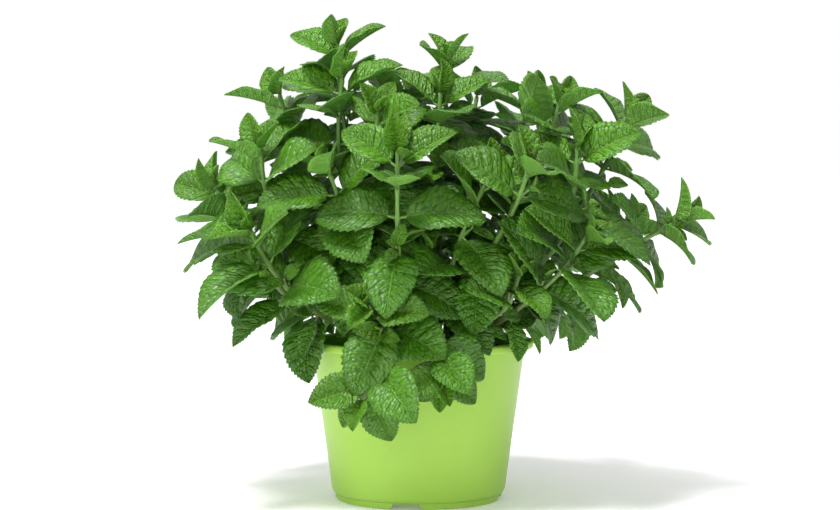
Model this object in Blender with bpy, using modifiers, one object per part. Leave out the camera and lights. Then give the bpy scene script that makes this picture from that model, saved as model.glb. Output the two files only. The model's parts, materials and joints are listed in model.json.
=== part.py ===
"""Potted mint: a plastic herb pot, its potting soil and a bush of mint shoots.

Metres, +Z up. The pot stands on the XY plane with its axis on Z, and the plant's front faces -Y.
Each shoot is one solid of stem and leaves. The closed bud pair at its very tip is left out.
"""

import math
from collections import namedtuple

import bmesh
import bpy
from mathutils import Vector
from mathutils.bvhtree import BVHTree

MM = 0.001
GAP = 0.0003

# Pot
RIM_RADIUS = 0.065
POT_HEIGHT = 0.090
WALL = 0.0016
LIP_DEPTH = 0.0045
LIP_ROUNDING = ((0.0012, 0.0), (0.0003, 0.0004), (0.0, 0.0013))
INNER_EDGE_BEVEL = 0.0005
BODY_TOP_RADIUS = 0.0602
BODY_BOTTOM_RADIUS = 0.0487
CHAMFER_HEIGHT = 0.0024
CHAMFER_WIDTH = 0.0011
FOOT_RADIUS = 0.0472
FOOT_WIDTH = 0.003
FOOT_HEIGHT = 0.0036
CENTRE_PAD_RADIUS = 0.012
POT_SIDES = 48
NOTCH_COUNT = 4
NOTCH_FIRST_ANGLE = math.radians(-98.5)
NOTCH_TOP_WIDTH = 0.014
NOTCH_BOTTOM_WIDTH = 0.0234
NOTCH_HEIGHT = 0.0032
DRAIN_COUNT = 4
DRAIN_RADIUS = 0.004
DRAIN_CIRCLE = 0.030
DRAIN_SIDES = 16
CUTTER_REACH = 0.006

# Soil
SOIL_EDGE_HEIGHT = 0.083
SOIL_CROWN_HEIGHT = 0.089
SOIL_SIDES = 36
SOIL_RINGS = 3
HOLE_SIDES = 6

# Shoots
STEM_HALF_WIDTH = 0.0017
STEM_TIP_HALF_WIDTH = 0.0009
STEM_BURIED = 0.006
STEM_UPRIGHT = 0.008
STEM_STEP = 0.020
CURVE_SAMPLES = 24
ROOTED = 0.0004

# The first shoots of the table carry the leaves of one pair as solids of their own, each seated
# against its stem with a gap.
OWN_LEAF_SHOOTS = 11
OWN_LEAF_PAIR = 3
SEAT_REACH = 0.010

# One entry for each opened pair of leaves, from the growing tip down: distance from the tip and
# leaf length as shares of the shoot's full leaf, then the angle to the stem and the droop in degrees.
Pair = namedtuple("Pair", "below_tip length opening droop")
PAIRS = (
    Pair(0.04, 0.50, 30, 14),
    Pair(0.18, 0.76, 50, 22),
    Pair(0.42, 0.96, 66, 30),
    Pair(0.74, 1.00, 76, 38),
    Pair(1.12, 0.94, 84, 44),
    Pair(1.56, 0.84, 92, 50),
    Pair(2.05, 0.74, 96, 52),
)
PAIR_QUARTER_TURN = 90

# A blade's face turns towards the growing tip, the light and the outside of the bush.
FACE_TIP = 0.3
FACE_LIGHT = Vector((0, -0.3, 0.6))
FACE_OUT = 0.7
CANOPY_RADIUS = 0.09

# A shoot's guide points are in millimetres: the foot on the soil (x, y), then points along the
# stem up to its growing tip. `leaf` is the length of its largest leaf in millimetres, `turn` the
# compass angle of the top pair in degrees, and `pairs` how many pairs of leaves it still carries.
Shoot = namedtuple("Shoot", "name foot guides leaf turn pairs")
SHOOTS = (
    Shoot("front_tall", (-4, -20), ((-9, -55, 118), (-11, -76, 152), (-11, -80, 196)), 48, 80, 6),
    Shoot("front_mid", (8, -14), ((11, -42, 106), (22, -50, 146), (38, -48, 182)), 48, 60, 6),
    Shoot("front_left_low", (-30, -18), ((-58, -36, 109), (-79, -48, 131), (-90, -58, 153)), 54, 44, 4),
    Shoot("left_high", (-26, -4), ((-54, -16, 126), (-80, -26, 158), (-87, -32, 198)), 48, 130, 6),
    Shoot("far_left", (-38, 4), ((-70, 4, 112), (-100, 0, 140), (-114, 0, 176)), 46, 60, 5),
    Shoot("right_low", (34, -20), ((52, -34, 108), (75, -46, 128), (91, -50, 150)), 54, 106, 4),
    Shoot("right_front", (24, -10), ((52, -24, 120), (80, -38, 152), (87, -38, 198)), 52, 70, 6),
    Shoot("far_right", (42, 0), ((76, 2, 114), (116, 0, 140), (150, 0, 158)), 39, 125, 4),
    Shoot("right_high", (32, 14), ((62, 12, 130), (98, 8, 174), (118, 8, 216)), 44, 45, 6),
    Shoot("upper_left", (-18, -8), ((-32, -14, 140), (-44, -20, 196), (-42, -24, 236)), 50, 75, 7),
    Shoot("back_left", (-22, 24), ((-46, 46, 130), (-68, 62, 172), (-76, 66, 212)), 46, 20, 6),
    Shoot("crown_left", (-14, 10), ((-28, 8, 150), (-42, 9, 210), (-46, 10, 256)), 44, 70, 7),
    Shoot("left_shoulder", (-26, 16), ((-46, 14, 150), (-68, 13, 194), (-79, 12, 228)), 46, 110, 6),
    Shoot("back_right", (20, 26), ((44, 48, 130), (64, 64, 168), (72, 70, 206)), 46, 65, 6),
    Shoot("front_left", (-18, -24), ((-30, -38, 120), (-40, -50, 160), (-50, -56, 190)), 46, 10, 7),
    Shoot("left_inner_low", (-36, -10), ((-52, -18, 104), (-68, -28, 112), (-80, -36, 126)), 44, 35, 4),
    Shoot("front_low", (-14, -36), ((-16, -62, 102), (-19, -80, 105), (-26, -88, 115)), 46, 70, 4),
    Shoot("centre_low", (0, -32), ((2, -46, 108), (4, -54, 124), (6, -58, 142)), 42, 120, 4),
    Shoot("front_hanging", (-26, -36), ((-25, -62, 102), (-20, -84, 86), (-30, -91, 66)), 43, 68, 3),
    Shoot("front_right_low", (8, -42), ((9, -62, 103), (10, -80, 94), (12, -90, 76)), 36, 60, 4),
    Shoot("right_inner", (24, -34), ((34, -46, 102), (46, -56, 110), (54, -62, 130)), 40, 50, 3),
    Shoot("right_mid", (16, -22), ((32, -44, 130), (50, -60, 162), (60, -66, 190)), 46, 15, 6),
    Shoot("upper_mid", (-8, -6), ((-14, -30, 140), (-22, -44, 185), (-22, -50, 216)), 44, 45, 6),
    Shoot("upper_front", (2, 2), ((6, -18, 150), (10, -26, 200), (12, -26, 228)), 44, 95, 6),
    Shoot("crown_mid", (8, 14), ((12, 8, 150), (15, 6, 216), (16, 5, 247)), 42, 150, 7),
    Shoot("crown_inner", (-6, 20), ((-9, 20, 150), (-13, 22, 196), (-14, 24, 235)), 40, 50, 7),
    Shoot("crown_right", (16, 8), ((36, 8, 140), (54, 8, 192), (63, 8, 226)), 42, 105, 7),
    Shoot("upper_right", (26, 2), ((46, -4, 140), (68, -6, 190), (79, -8, 223)), 42, 65, 6),
    Shoot("back_mid", (-2, 32), ((-4, 60, 140), (-4, 72, 190), (-2, 78, 227)), 46, 35, 6),
    Shoot("back_upper", (12, 36), ((24, 46, 150), (30, 46, 200), (34, 48, 228)), 44, 80, 6),
    Shoot("back_low_left", (-26, 36), ((-46, 70, 112), (-62, 92, 130), (-70, 100, 158)), 46, 50, 5),
    Shoot("back_low_mid", (2, 46), ((4, 80, 110), (6, 104, 130), (8, 112, 160)), 46, 25, 5),
    Shoot("back_low_right", (28, 38), ((56, 68, 110), (76, 90, 130), (86, 98, 160)), 46, 70, 5),
    Shoot("back_far_left", (-38, 20), ((-74, 40, 112), (-94, 52, 134), (-104, 56, 164)), 46, 15, 5),
    Shoot("back_far_right", (42, 18), ((78, 34, 110), (104, 44, 128), (121, 46, 153)), 46, 60, 5),
)

# Leaf blade: half width at stations along the leaf, as shares of the leaf's length. A leaf that is
# joined to its stem has one station less.
PETIOLE_HALF_WIDTH = 0.0008
LEAF_STATIONS = ((0.0, None), (0.32, 0.29), (0.66, 0.27))
JOINED_LEAF_STATIONS = ((0.0, None), (0.46, 0.30))
LEAF_HALF_THICKNESS = 0.0005
LEAF_FOLD = math.tan(math.radians(16))
STALK_LENGTH = 0.0045
PROBE_GROWTH = 1.04
PROBE_HALF_THICKNESS = 0.0011

# A leaf that would run into its neighbours is tried again swung, lifted and then smaller.
SWINGS = (0, 12, -12, 24, -24, 36, -36)
LIFTS = (0, 12, -12, 24, -24, 36, -36)
SHRINKS = (1.0, 0.88, 0.76, 0.64)
POT_CLEARANCE = 0.002


def in_collection(name, obj=None, hidden=False):
    """Gets or makes a collection of the scene, and moves an object into it."""
    collection = bpy.data.collections.get(name)
    if collection is None:
        collection = bpy.data.collections.new(name)
        bpy.context.scene.collection.children.link(collection)
    if obj is not None:
        for other in list(obj.users_collection):
            other.objects.unlink(obj)
        collection.objects.link(obj)
        if hidden:
            obj.hide_render = True
            obj.display_type = "WIRE"
    return collection


def material(name, colour, roughness):
    made = bpy.data.materials.get(name)
    if made is None:
        made = bpy.data.materials.new(name)
        made.use_nodes = True
        shader = made.node_tree.nodes["Principled BSDF"]
        shader.inputs["Base Color"].default_value = (*colour, 1)
        shader.inputs["Roughness"].default_value = roughness
    return made


def pot_plastic():
    return material("pot_plastic", (0.384, 0.687, 0.096), 0.4)


def potting_soil():
    return material("potting_soil", (0.018, 0.012, 0.008), 0.95)


def mint_leaf():
    return material("mint_leaf", (0.075, 0.26, 0.03), 0.5)


def mint_shoot():
    return material("mint_shoot", (0.11, 0.32, 0.045), 0.5)


def mesh_object(name, bm, finish=None):
    mesh = bpy.data.meshes.new(name)
    bm.to_mesh(mesh)
    bm.free()
    obj = bpy.data.objects.new(name, mesh)
    if finish is not None:
        mesh.materials.append(finish)
    return obj


def turned(name, profile, sides, finish):
    """A profile of (radius, height) pairs, outer side first from top to bottom, turned round Z."""
    bm = bmesh.new()
    points = [bm.verts.new((radius, 0, height)) for radius, height in profile]
    for start, end in zip(points, points[1:]):
        bm.edges.new((start, end))
    if profile[0][0] > 0:
        bm.edges.new((points[-1], points[0]))
    obj = mesh_object(name, bm, finish)
    screw = obj.modifiers.new("turn", "SCREW")
    screw.steps = sides
    screw.render_steps = sides
    screw.use_merge_vertices = True
    screw.merge_threshold = 0.00001
    screw.use_smooth_shade = True
    return obj


def subtract(obj, cutter):
    cut = obj.modifiers.new(cutter.name, "BOOLEAN")
    cut.operation = "DIFFERENCE"
    cut.object = cutter


def body_radius(height):
    """Radius of the pot's outer wall at a height above the foot."""
    share = (height - FOOT_HEIGHT) / (POT_HEIGHT - FOOT_HEIGHT)
    return BODY_BOTTOM_RADIUS + (BODY_TOP_RADIUS - BODY_BOTTOM_RADIUS) * share


def notch_cutter(index):
    """A wedge through the foot ring, wider at the floor than at its top."""
    bm = bmesh.new()
    bmesh.ops.create_cube(bm, size=1)
    for vert in bm.verts:
        top = vert.co.z > 0
        width = NOTCH_TOP_WIDTH if top else NOTCH_BOTTOM_WIDTH
        vert.co.x = FOOT_RADIUS + math.copysign(CUTTER_REACH, vert.co.x)
        vert.co.y *= width
        vert.co.z = NOTCH_HEIGHT if top else -NOTCH_HEIGHT
    cutter = mesh_object(f"notch_{index + 1}", bm)
    cutter.rotation_euler.z = NOTCH_FIRST_ANGLE + index * math.tau / NOTCH_COUNT
    in_collection("cutters", cutter, hidden=True)
    return cutter


def cylinder_cutter(name, place, radius, height, sides):
    bm = bmesh.new()
    bmesh.ops.create_cone(
        bm, cap_ends=True, segments=sides, radius1=radius, radius2=radius, depth=height
    )
    cutter = mesh_object(name, bm)
    cutter.location = place
    in_collection("cutters", cutter, hidden=True)
    return cutter


def build_pot():
    """One moulding: tapered wall, turned-down lip, raised floor, foot ring and a centre pad."""
    floor_top = FOOT_HEIGHT + WALL
    lip_bottom = POT_HEIGHT - LIP_DEPTH
    lip_inner = RIM_RADIUS - WALL
    pad_inner = CENTRE_PAD_RADIUS - WALL
    mouth_radius = body_radius(POT_HEIGHT) - WALL
    profile = [(RIM_RADIUS - inwards, POT_HEIGHT - down) for inwards, down in LIP_ROUNDING]
    profile += [
        (RIM_RADIUS, lip_bottom),
        (lip_inner, lip_bottom),
        (lip_inner, POT_HEIGHT - WALL),
        (body_radius(POT_HEIGHT), POT_HEIGHT - WALL),
        (body_radius(FOOT_HEIGHT + CHAMFER_HEIGHT), FOOT_HEIGHT + CHAMFER_HEIGHT),
        (BODY_BOTTOM_RADIUS - CHAMFER_WIDTH, FOOT_HEIGHT),
        (FOOT_RADIUS, FOOT_HEIGHT),
        (FOOT_RADIUS, 0),
        (FOOT_RADIUS - FOOT_WIDTH, 0),
        (FOOT_RADIUS - FOOT_WIDTH, FOOT_HEIGHT),
        (CENTRE_PAD_RADIUS, FOOT_HEIGHT),
        (CENTRE_PAD_RADIUS, 0),
        (0, 0),
        (0, WALL),
        (pad_inner, WALL),
        (pad_inner, floor_top),
        (body_radius(floor_top) - WALL, floor_top),
        (mouth_radius, POT_HEIGHT - INNER_EDGE_BEVEL),
        (mouth_radius + INNER_EDGE_BEVEL, POT_HEIGHT),
    ]
    pot = turned("pot", profile, POT_SIDES, pot_plastic())
    for index in range(NOTCH_COUNT):
        subtract(pot, notch_cutter(index))
    for index in range(DRAIN_COUNT):
        angle = NOTCH_FIRST_ANGLE + (index + 0.5) * math.tau / DRAIN_COUNT
        place = (DRAIN_CIRCLE * math.cos(angle), DRAIN_CIRCLE * math.sin(angle), FOOT_HEIGHT)
        cutter = cylinder_cutter(f"drain_{index + 1}", place, DRAIN_RADIUS, CUTTER_REACH, DRAIN_SIDES)
        subtract(pot, cutter)
    in_collection("potted_mint", pot)
    return pot


def soil_height(x, y):
    """The soil's surface: a low crown that falls to its edge at the wall."""
    edge = body_radius(SOIL_EDGE_HEIGHT) - WALL - GAP
    share = min(1, math.hypot(x, y) / edge)
    return SOIL_CROWN_HEIGHT - (SOIL_CROWN_HEIGHT - SOIL_EDGE_HEIGHT) * share * share


def build_soil():
    """The soil fills the pot from its floor, with a hole for each buried stem end."""
    edge = body_radius(SOIL_EDGE_HEIGHT) - WALL - GAP
    floor = FOOT_HEIGHT + WALL + GAP
    pad_inner = CENTRE_PAD_RADIUS - WALL - GAP
    radii = [edge * ring / SOIL_RINGS for ring in range(SOIL_RINGS + 1)]
    profile = [(radius, soil_height(radius, 0)) for radius in radii]
    profile += [(body_radius(floor) - WALL - GAP, floor), (pad_inner, floor)]
    profile += [(pad_inner, WALL + GAP), (0, WALL + GAP)]
    soil = turned("potting_soil", profile, SOIL_SIDES, potting_soil())
    for shoot in SHOOTS:
        x, y = (value * MM for value in shoot.foot)
        radius = (STEM_HALF_WIDTH * math.sqrt(2) + GAP) / math.cos(math.pi / HOLE_SIDES)
        place = (x, y, soil_height(x, y))
        depth = 2 * (STEM_BURIED + GAP)
        subtract(soil, cylinder_cutter(f"hole_{shoot.name}", place, radius, depth, HOLE_SIDES))
    in_collection("potted_mint", soil)
    return soil


class Path:
    """A stem's centre line, as points a fixed step apart from foot to tip."""

    def __init__(self, shoot):
        x, y = (value * MM for value in shoot.foot)
        ground = soil_height(x, y)
        guides = [Vector(point) * MM for point in shoot.guides]
        upright = Vector((x, y, ground + STEM_UPRIGHT))
        smooth = catmull_rom([upright, *guides])
        self.points = [Vector((x, y, ground - STEM_BURIED))] + spaced(smooth, STEM_STEP)
        self.lengths = [0.0]
        for start, end in zip(self.points, self.points[1:]):
            self.lengths.append(self.lengths[-1] + (end - start).length)

    def below_tip(self, distance):
        """The place and the upward direction at a distance back from the tip."""
        place = max(0.0, self.lengths[-1] - distance)
        index = len(self.points) - 2
        while index > 0 and self.lengths[index] > place:
            index -= 1
        start, end = self.points[index], self.points[index + 1]
        share = (place - self.lengths[index]) / (end - start).length
        return start.lerp(end, share), (end - start).normalized()


def catmull_rom(points):
    """A smooth curve through the points."""
    ends = [2 * points[0] - points[1], *points, 2 * points[-1] - points[-2]]
    curve = []
    for before, start, end, after in zip(ends, ends[1:], ends[2:], ends[3:]):
        for sample in range(CURVE_SAMPLES):
            t = sample / CURVE_SAMPLES
            curve.append(
                0.5
                * (
                    2 * start
                    + (end - before) * t
                    + (2 * before - 5 * start + 4 * end - after) * t * t
                    + (3 * start - before - 3 * end + after) * t * t * t
                )
            )
    return curve + [points[-1].copy()]


def spaced(curve, step):
    """Points of the curve at equal distances of about one step, both ends kept."""
    total = sum((b - a).length for a, b in zip(curve, curve[1:]))
    count = max(2, round(total / step))
    wanted = [total * index / count for index in range(1, count)]
    points, travelled = [curve[0]], 0.0
    for start, end in zip(curve, curve[1:]):
        length = (end - start).length
        while wanted and wanted[0] <= travelled + length:
            points.append(start.lerp(end, (wanted.pop(0) - travelled) / length))
        travelled += length
    return points + [curve[-1]]


def stem_mesh(path):
    """The square stem as a bevelled curve made into a closed mesh."""
    curve = bpy.data.curves.new("stem", "CURVE")
    curve.dimensions = "3D"
    curve.bevel_depth = math.sqrt(2)
    curve.bevel_resolution = 0
    curve.use_fill_caps = True
    spline = curve.splines.new("POLY")
    spline.points.add(len(path.points) - 1)
    for index, (point, place) in enumerate(zip(spline.points, path.points)):
        share = index / (len(path.points) - 1)
        point.co = (*place, 1)
        point.radius = STEM_HALF_WIDTH + (STEM_TIP_HALF_WIDTH - STEM_HALF_WIDTH) * share
    guide = bpy.data.objects.new("stem_guide", curve)
    bpy.context.scene.collection.objects.link(guide)
    graph = bpy.context.evaluated_depsgraph_get()
    mesh = bpy.data.meshes.new_from_object(guide.evaluated_get(graph))
    bpy.data.objects.remove(guide)
    bm = bmesh.new()
    bm.from_mesh(mesh)
    bmesh.ops.remove_doubles(bm, verts=bm.verts, dist=0.00001)
    bpy.data.meshes.remove(mesh)
    return bm


class Leaf:
    """Where a leaf sits: its base, the way it points, the way its face looks, size and droop."""

    def __init__(self, shoot, path, pair, side, swing=0, lift=0, shrink=1.0):
        rule = PAIRS[pair]
        full = shoot.leaf * MM
        self.base, along = path.below_tip(rule.below_tip * full)
        across = (Vector((1, 0, 0)) - along * along.x).normalized()
        azimuth = math.radians(shoot.turn + PAIR_QUARTER_TURN * pair + 180 * side + swing)
        around = across * math.cos(azimuth) + along.cross(across) * math.sin(azimuth)
        self.opening = math.radians(rule.opening - lift)
        self.direction = along * math.cos(self.opening) + around * math.sin(self.opening)
        outward = Vector((self.base.x, self.base.y, 0)) / CANOPY_RADIUS
        sky = along * FACE_TIP + FACE_LIGHT + outward * FACE_OUT
        self.normal = (sky - self.direction * sky.dot(self.direction)).normalized()
        self.length = rule.length * full * shrink
        self.droop = math.radians(rule.droop)
        self.base += self.direction * ROOTED

    def at(self, share):
        """The midrib's point, direction and normal at a share of the leaf's length."""
        turn = self.droop * share
        reach = self.length / self.droop
        forward, face = self.direction, self.normal
        point = self.base + reach * (math.sin(turn) * forward - (1 - math.cos(turn)) * face)
        direction = forward * math.cos(turn) - face * math.sin(turn)
        return point, direction, face * math.cos(turn) + forward * math.sin(turn)

    def mesh(self, stations, start=0.0, growth=1.0, half_thickness=LEAF_HALF_THICKNESS):
        """A folded blade: four-cornered sections lofted from the stalk's end to the leaf's tip."""
        bm = bmesh.new()
        rings = []
        for share, width in stations:
            point, direction, normal = self.at(max(share, start))
            sideways = direction.cross(normal)
            half = PETIOLE_HALF_WIDTH if width is None else width * self.length * growth
            thick = PETIOLE_HALF_WIDTH if width is None else half_thickness
            rise = 0 if width is None else half * LEAF_FOLD
            corners = (
                point + sideways * half + normal * rise,
                point + normal * thick,
                point - sideways * half + normal * rise,
                point - normal * thick,
            )
            rings.append([bm.verts.new(corner) for corner in corners])
        tip = bm.verts.new(self.at(growth)[0])
        bm.faces.new(rings[0])
        for lower, upper in zip(rings, rings[1:]):
            for corner in range(4):
                following = (corner + 1) % 4
                quad = (lower[corner], upper[corner], upper[following], lower[following])
                bm.faces.new(quad)
        for corner in range(4):
            bm.faces.new((rings[-1][corner], tip, rings[-1][(corner + 1) % 4]))
        bmesh.ops.triangulate(bm, faces=bm.faces)
        bmesh.ops.recalc_face_normals(bm, faces=bm.faces)
        return bm

    def probe(self, stalk):
        """A slightly larger and thicker leaf, with or without its stalk, to test for room."""
        start = 0.0 if stalk else STALK_LENGTH / self.length
        return self.mesh(LEAF_STATIONS, start, PROBE_GROWTH, PROBE_HALF_THICKNESS)


class Obstacle:
    def __init__(self, bm, shoot_name=None):
        self.tree = BVHTree.FromBMesh(bm)
        places = [vert.co for vert in bm.verts]
        self.low = [min(place[axis] for place in places) for axis in range(3)]
        self.high = [max(place[axis] for place in places) for axis in range(3)]
        self.shoot_name = shoot_name

    def near(self, other):
        return all(
            self.low[axis] <= other.high[axis] and other.low[axis] <= self.high[axis]
            for axis in range(3)
        )

    def meets(self, other):
        return self.near(other) and bool(self.tree.overlap(other.tree))


def clear_of_pot(bm):
    """True where every corner and edge middle lies outside the pot and above its mouth."""
    places = [vert.co for vert in bm.verts]
    places += [(edge.verts[0].co + edge.verts[1].co) / 2 for edge in bm.edges]
    for place in places:
        if place.z > POT_HEIGHT + POT_CLEARANCE:
            continue
        beside_lip = place.z > POT_HEIGHT - LIP_DEPTH - POT_CLEARANCE
        wall = RIM_RADIUS if beside_lip else body_radius(place.z)
        if math.hypot(place.x, place.y) < wall + POT_CLEARANCE:
            return False
    return True


def tries():
    """Changes to try on a leaf, the smallest first."""
    changes = [
        (shrink, abs(swing) + abs(lift), swing, lift)
        for shrink in SHRINKS
        for swing in SWINGS
        for lift in LIFTS
    ]
    changes.sort(key=lambda change: (-change[0], change[1]))
    return [(swing, lift, shrink) for shrink, _, swing, lift in changes]


def grow():
    """Places every leaf, the largest first, and returns (shoot index, pair, side): Leaf."""
    paths = [Path(shoot) for shoot in SHOOTS]
    stems = []
    for shoot, path in zip(SHOOTS, paths):
        stems.append(Obstacle(stem_mesh(path), shoot.name))
    wanted = [
        (index, pair, side)
        for index, shoot in enumerate(SHOOTS)
        for pair in range(shoot.pairs)
        for side in range(2)
    ]
    wanted.sort(key=lambda key: -PAIRS[key[1]].length * SHOOTS[key[0]].leaf)
    leaves, whole_leaves, blades = {}, [], []
    changes = tries()
    for key in wanted:
        index, pair, side = key
        shoot = SHOOTS[index]
        own = [other for other in stems + blades if other.shoot_name == shoot.name]
        strangers = [other for other in stems + whole_leaves if other.shoot_name != shoot.name]
        for swing, lift, shrink in changes:
            leaf = Leaf(shoot, paths[index], pair, side, swing, lift, shrink)
            whole = leaf.probe(stalk=True)
            if not clear_of_pot(whole):
                continue
            whole = Obstacle(whole, shoot.name)
            blade = Obstacle(leaf.probe(stalk=False), shoot.name)
            if any(whole.meets(other) for other in strangers):
                continue
            if any(blade.meets(other) for other in own):
                continue
            leaves[key] = leaf
            whole_leaves.append(whole)
            blades.append(blade)
            break
    return paths, leaves


def seat(leaf, stem):
    """Moves a leaf with a node of its own out along its stalk until it just clears the stem."""
    far = leaf.base + leaf.direction * SEAT_REACH
    hit = stem.tree.ray_cast(far, -leaf.direction)[0]
    slant = PETIOLE_HALF_WIDTH * abs(math.cos(leaf.opening) / math.sin(leaf.opening))
    moved = (hit - leaf.base).length + GAP + slant
    leaf.base = leaf.base + leaf.direction * moved
    leaf.length -= moved


def build_shoots():
    """Each shoot is its stem with its leaves joined on; the largest pair of some is separate."""
    paths, leaves = grow()
    for index, (shoot, path) in enumerate(zip(SHOOTS, paths)):
        bm = stem_mesh(path)
        stem = Obstacle(bm)
        obj = mesh_object(shoot.name, bm, mint_shoot())
        in_collection("potted_mint", obj)
        joined = in_collection(f"{shoot.name}_leaves")
        for (owner, pair, side), leaf in leaves.items():
            if owner != index:
                continue
            own = index < OWN_LEAF_SHOOTS and pair == OWN_LEAF_PAIR
            letter = "ab"[side]
            if own:
                seat(leaf, stem)
                blade = leaf.mesh(LEAF_STATIONS)
                piece = mesh_object(f"{shoot.name}_leaf_{letter}", blade, mint_leaf())
                in_collection("potted_mint", piece)
            else:
                blade = leaf.mesh(JOINED_LEAF_STATIONS)
                piece = mesh_object(f"{shoot.name}_pair_{pair + 1}{letter}", blade)
                in_collection(joined.name, piece, hidden=True)
        union = obj.modifiers.new("leaves", "BOOLEAN")
        union.operation = "UNION"
        union.operand_type = "COLLECTION"
        union.collection = joined


def main():
    for obj in list(bpy.data.objects):
        bpy.data.objects.remove(obj)
    build_pot()
    build_soil()
    build_shoots()


main()
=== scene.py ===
"""Potted mint: the detailed surfaces of the plant, its soil and its pot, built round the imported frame.

Metres, +Z up. The pot stands on the XY plane with its axis on Z, and the plant's front faces -Y.
"""

import functools
import itertools
import json
import math
from collections import namedtuple

import bmesh
import bpy
import numpy as np
from mathutils import Matrix, Vector, noise
from mathutils.bvhtree import BVHTree

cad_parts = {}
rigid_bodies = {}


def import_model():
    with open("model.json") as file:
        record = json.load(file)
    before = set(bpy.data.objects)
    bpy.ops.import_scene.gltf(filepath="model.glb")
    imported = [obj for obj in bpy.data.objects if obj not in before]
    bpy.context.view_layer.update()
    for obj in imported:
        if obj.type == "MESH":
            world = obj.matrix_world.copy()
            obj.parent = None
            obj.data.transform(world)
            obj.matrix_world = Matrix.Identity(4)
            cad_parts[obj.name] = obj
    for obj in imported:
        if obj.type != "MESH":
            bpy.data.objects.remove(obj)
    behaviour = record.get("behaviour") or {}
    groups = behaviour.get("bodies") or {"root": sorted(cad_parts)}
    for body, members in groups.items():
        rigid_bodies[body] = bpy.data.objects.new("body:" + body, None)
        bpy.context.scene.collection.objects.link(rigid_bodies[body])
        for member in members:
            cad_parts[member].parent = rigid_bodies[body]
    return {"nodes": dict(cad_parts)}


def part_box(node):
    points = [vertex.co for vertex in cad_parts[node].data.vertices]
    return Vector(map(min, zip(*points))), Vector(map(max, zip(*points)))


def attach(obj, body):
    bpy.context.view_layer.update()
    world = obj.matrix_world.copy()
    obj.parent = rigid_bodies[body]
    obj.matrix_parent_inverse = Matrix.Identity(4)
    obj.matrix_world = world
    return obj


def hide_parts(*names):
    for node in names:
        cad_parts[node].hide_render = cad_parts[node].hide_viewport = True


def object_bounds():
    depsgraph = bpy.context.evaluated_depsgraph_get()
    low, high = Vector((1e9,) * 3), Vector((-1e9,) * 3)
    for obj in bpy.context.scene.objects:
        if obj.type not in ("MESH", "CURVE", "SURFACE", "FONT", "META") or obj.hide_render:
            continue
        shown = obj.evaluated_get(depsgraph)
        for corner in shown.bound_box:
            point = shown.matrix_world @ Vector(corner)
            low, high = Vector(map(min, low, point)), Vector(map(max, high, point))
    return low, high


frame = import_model()
CAD_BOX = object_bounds()

bl_info = {
    "name": "Potted Mint",
    "version": (1, 0, 0),
    "blender": (4, 5, 0),
    "location": "View3D > Sidebar > Mint",
    "description": "Builds a potted mint plant: pot, soil, stems and leaves",
    "category": "Add Mesh",
}

# A millimetre, the gap round a seated piece and the least radius that a ring is drawn in to
MM = 0.001
GAP = 0.0003
SMALLEST_RING = 0.0001

# Pot
RIM_RADIUS = 0.065
POT_HEIGHT = 0.090
WALL = 0.0016
LIP_DEPTH = 0.0045
BODY_TOP_RADIUS = 0.0602
BODY_BOTTOM_RADIUS = 0.0487
CHAMFER_HEIGHT = 0.0024
CHAMFER_WIDTH = 0.0011
FOOT_RADIUS = 0.0472
FOOT_WIDTH = 0.003
FOOT_HEIGHT = 0.0036
CENTRE_PAD_RADIUS = 0.012
NOTCH_COUNT = 4
NOTCH_FIRST_ANGLE = math.radians(-98.5)
NOTCH_TOP_WIDTH = 0.014
NOTCH_BOTTOM_WIDTH = 0.0234
NOTCH_HEIGHT = 0.0032
DRAIN_COUNT = 4
DRAIN_RADIUS = 0.004
DRAIN_CIRCLE = 0.030
DRAIN_SIDES = 32
CUTTER_REACH = 0.006
POT_SIDES = 160
SMOOTH_ANGLE = math.radians(32)

# Soil
SOIL_EDGE_HEIGHT = 0.083
SOIL_CROWN_HEIGHT = 0.089
SOIL_SIDES = 120
SOIL_RINGS = 30
BROAD_LUMPS, FINE_LUMPS = 70, 330
CRUMBS_PER_FIBRE = 9
CRUMB_SHAPE, FIBRE_SHAPE = (1.0, 0.85, 0.7), (3.2, 0.28, 0.28)

# Stems
STEM_HALF_WIDTH = 0.0017
STEM_TIP_HALF_WIDTH = 0.0009
STEM_BURIED = 0.006
STEM_UPRIGHT = 0.008
STEM_STEP = 0.020
CURVE_SAMPLES = 24
ROOTED = 0.0004
STEM_SIDES = 12
STEM_RINGS = 80
STEM_FULLNESS = 1.12
STEM_SQUARENESS = 0.13
NODE_SWELLING = 0.28
NODE_LENGTH = 0.0022

# The first shoots of the table carry one pair of leaves as nodes of their own.
OWN_LEAF_SHOOTS = 11
OWN_LEAF_PAIR = 3

# One entry for each opened pair of leaves, from the growing tip down: distance from the tip and
# leaf length as shares of the shoot's full leaf, the angle to the stem and the droop in degrees,
# then how young the pair looks, how far it is folded and how wide it is beside a grown leaf.
Pair = namedtuple("Pair", "below_tip length opening droop youth fold width")
PAIRS = (
    Pair(0.04, 0.50, 30, 14, 0.62, 2.4, 0.82),
    Pair(0.18, 0.76, 50, 22, 0.36, 1.6, 0.90),
    Pair(0.42, 0.96, 66, 30, 0.16, 1.1, 1),
    Pair(0.74, 1.00, 76, 38, 0.06, 0.9, 1),
    Pair(1.12, 0.94, 84, 44, 0.02, 0.8, 1),
    Pair(1.56, 0.84, 92, 50, 0.0, 0.7, 1),
    Pair(2.05, 0.74, 96, 52, 0.0, 0.7, 1),
)
PAIR_QUARTER_TURN = 90

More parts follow.
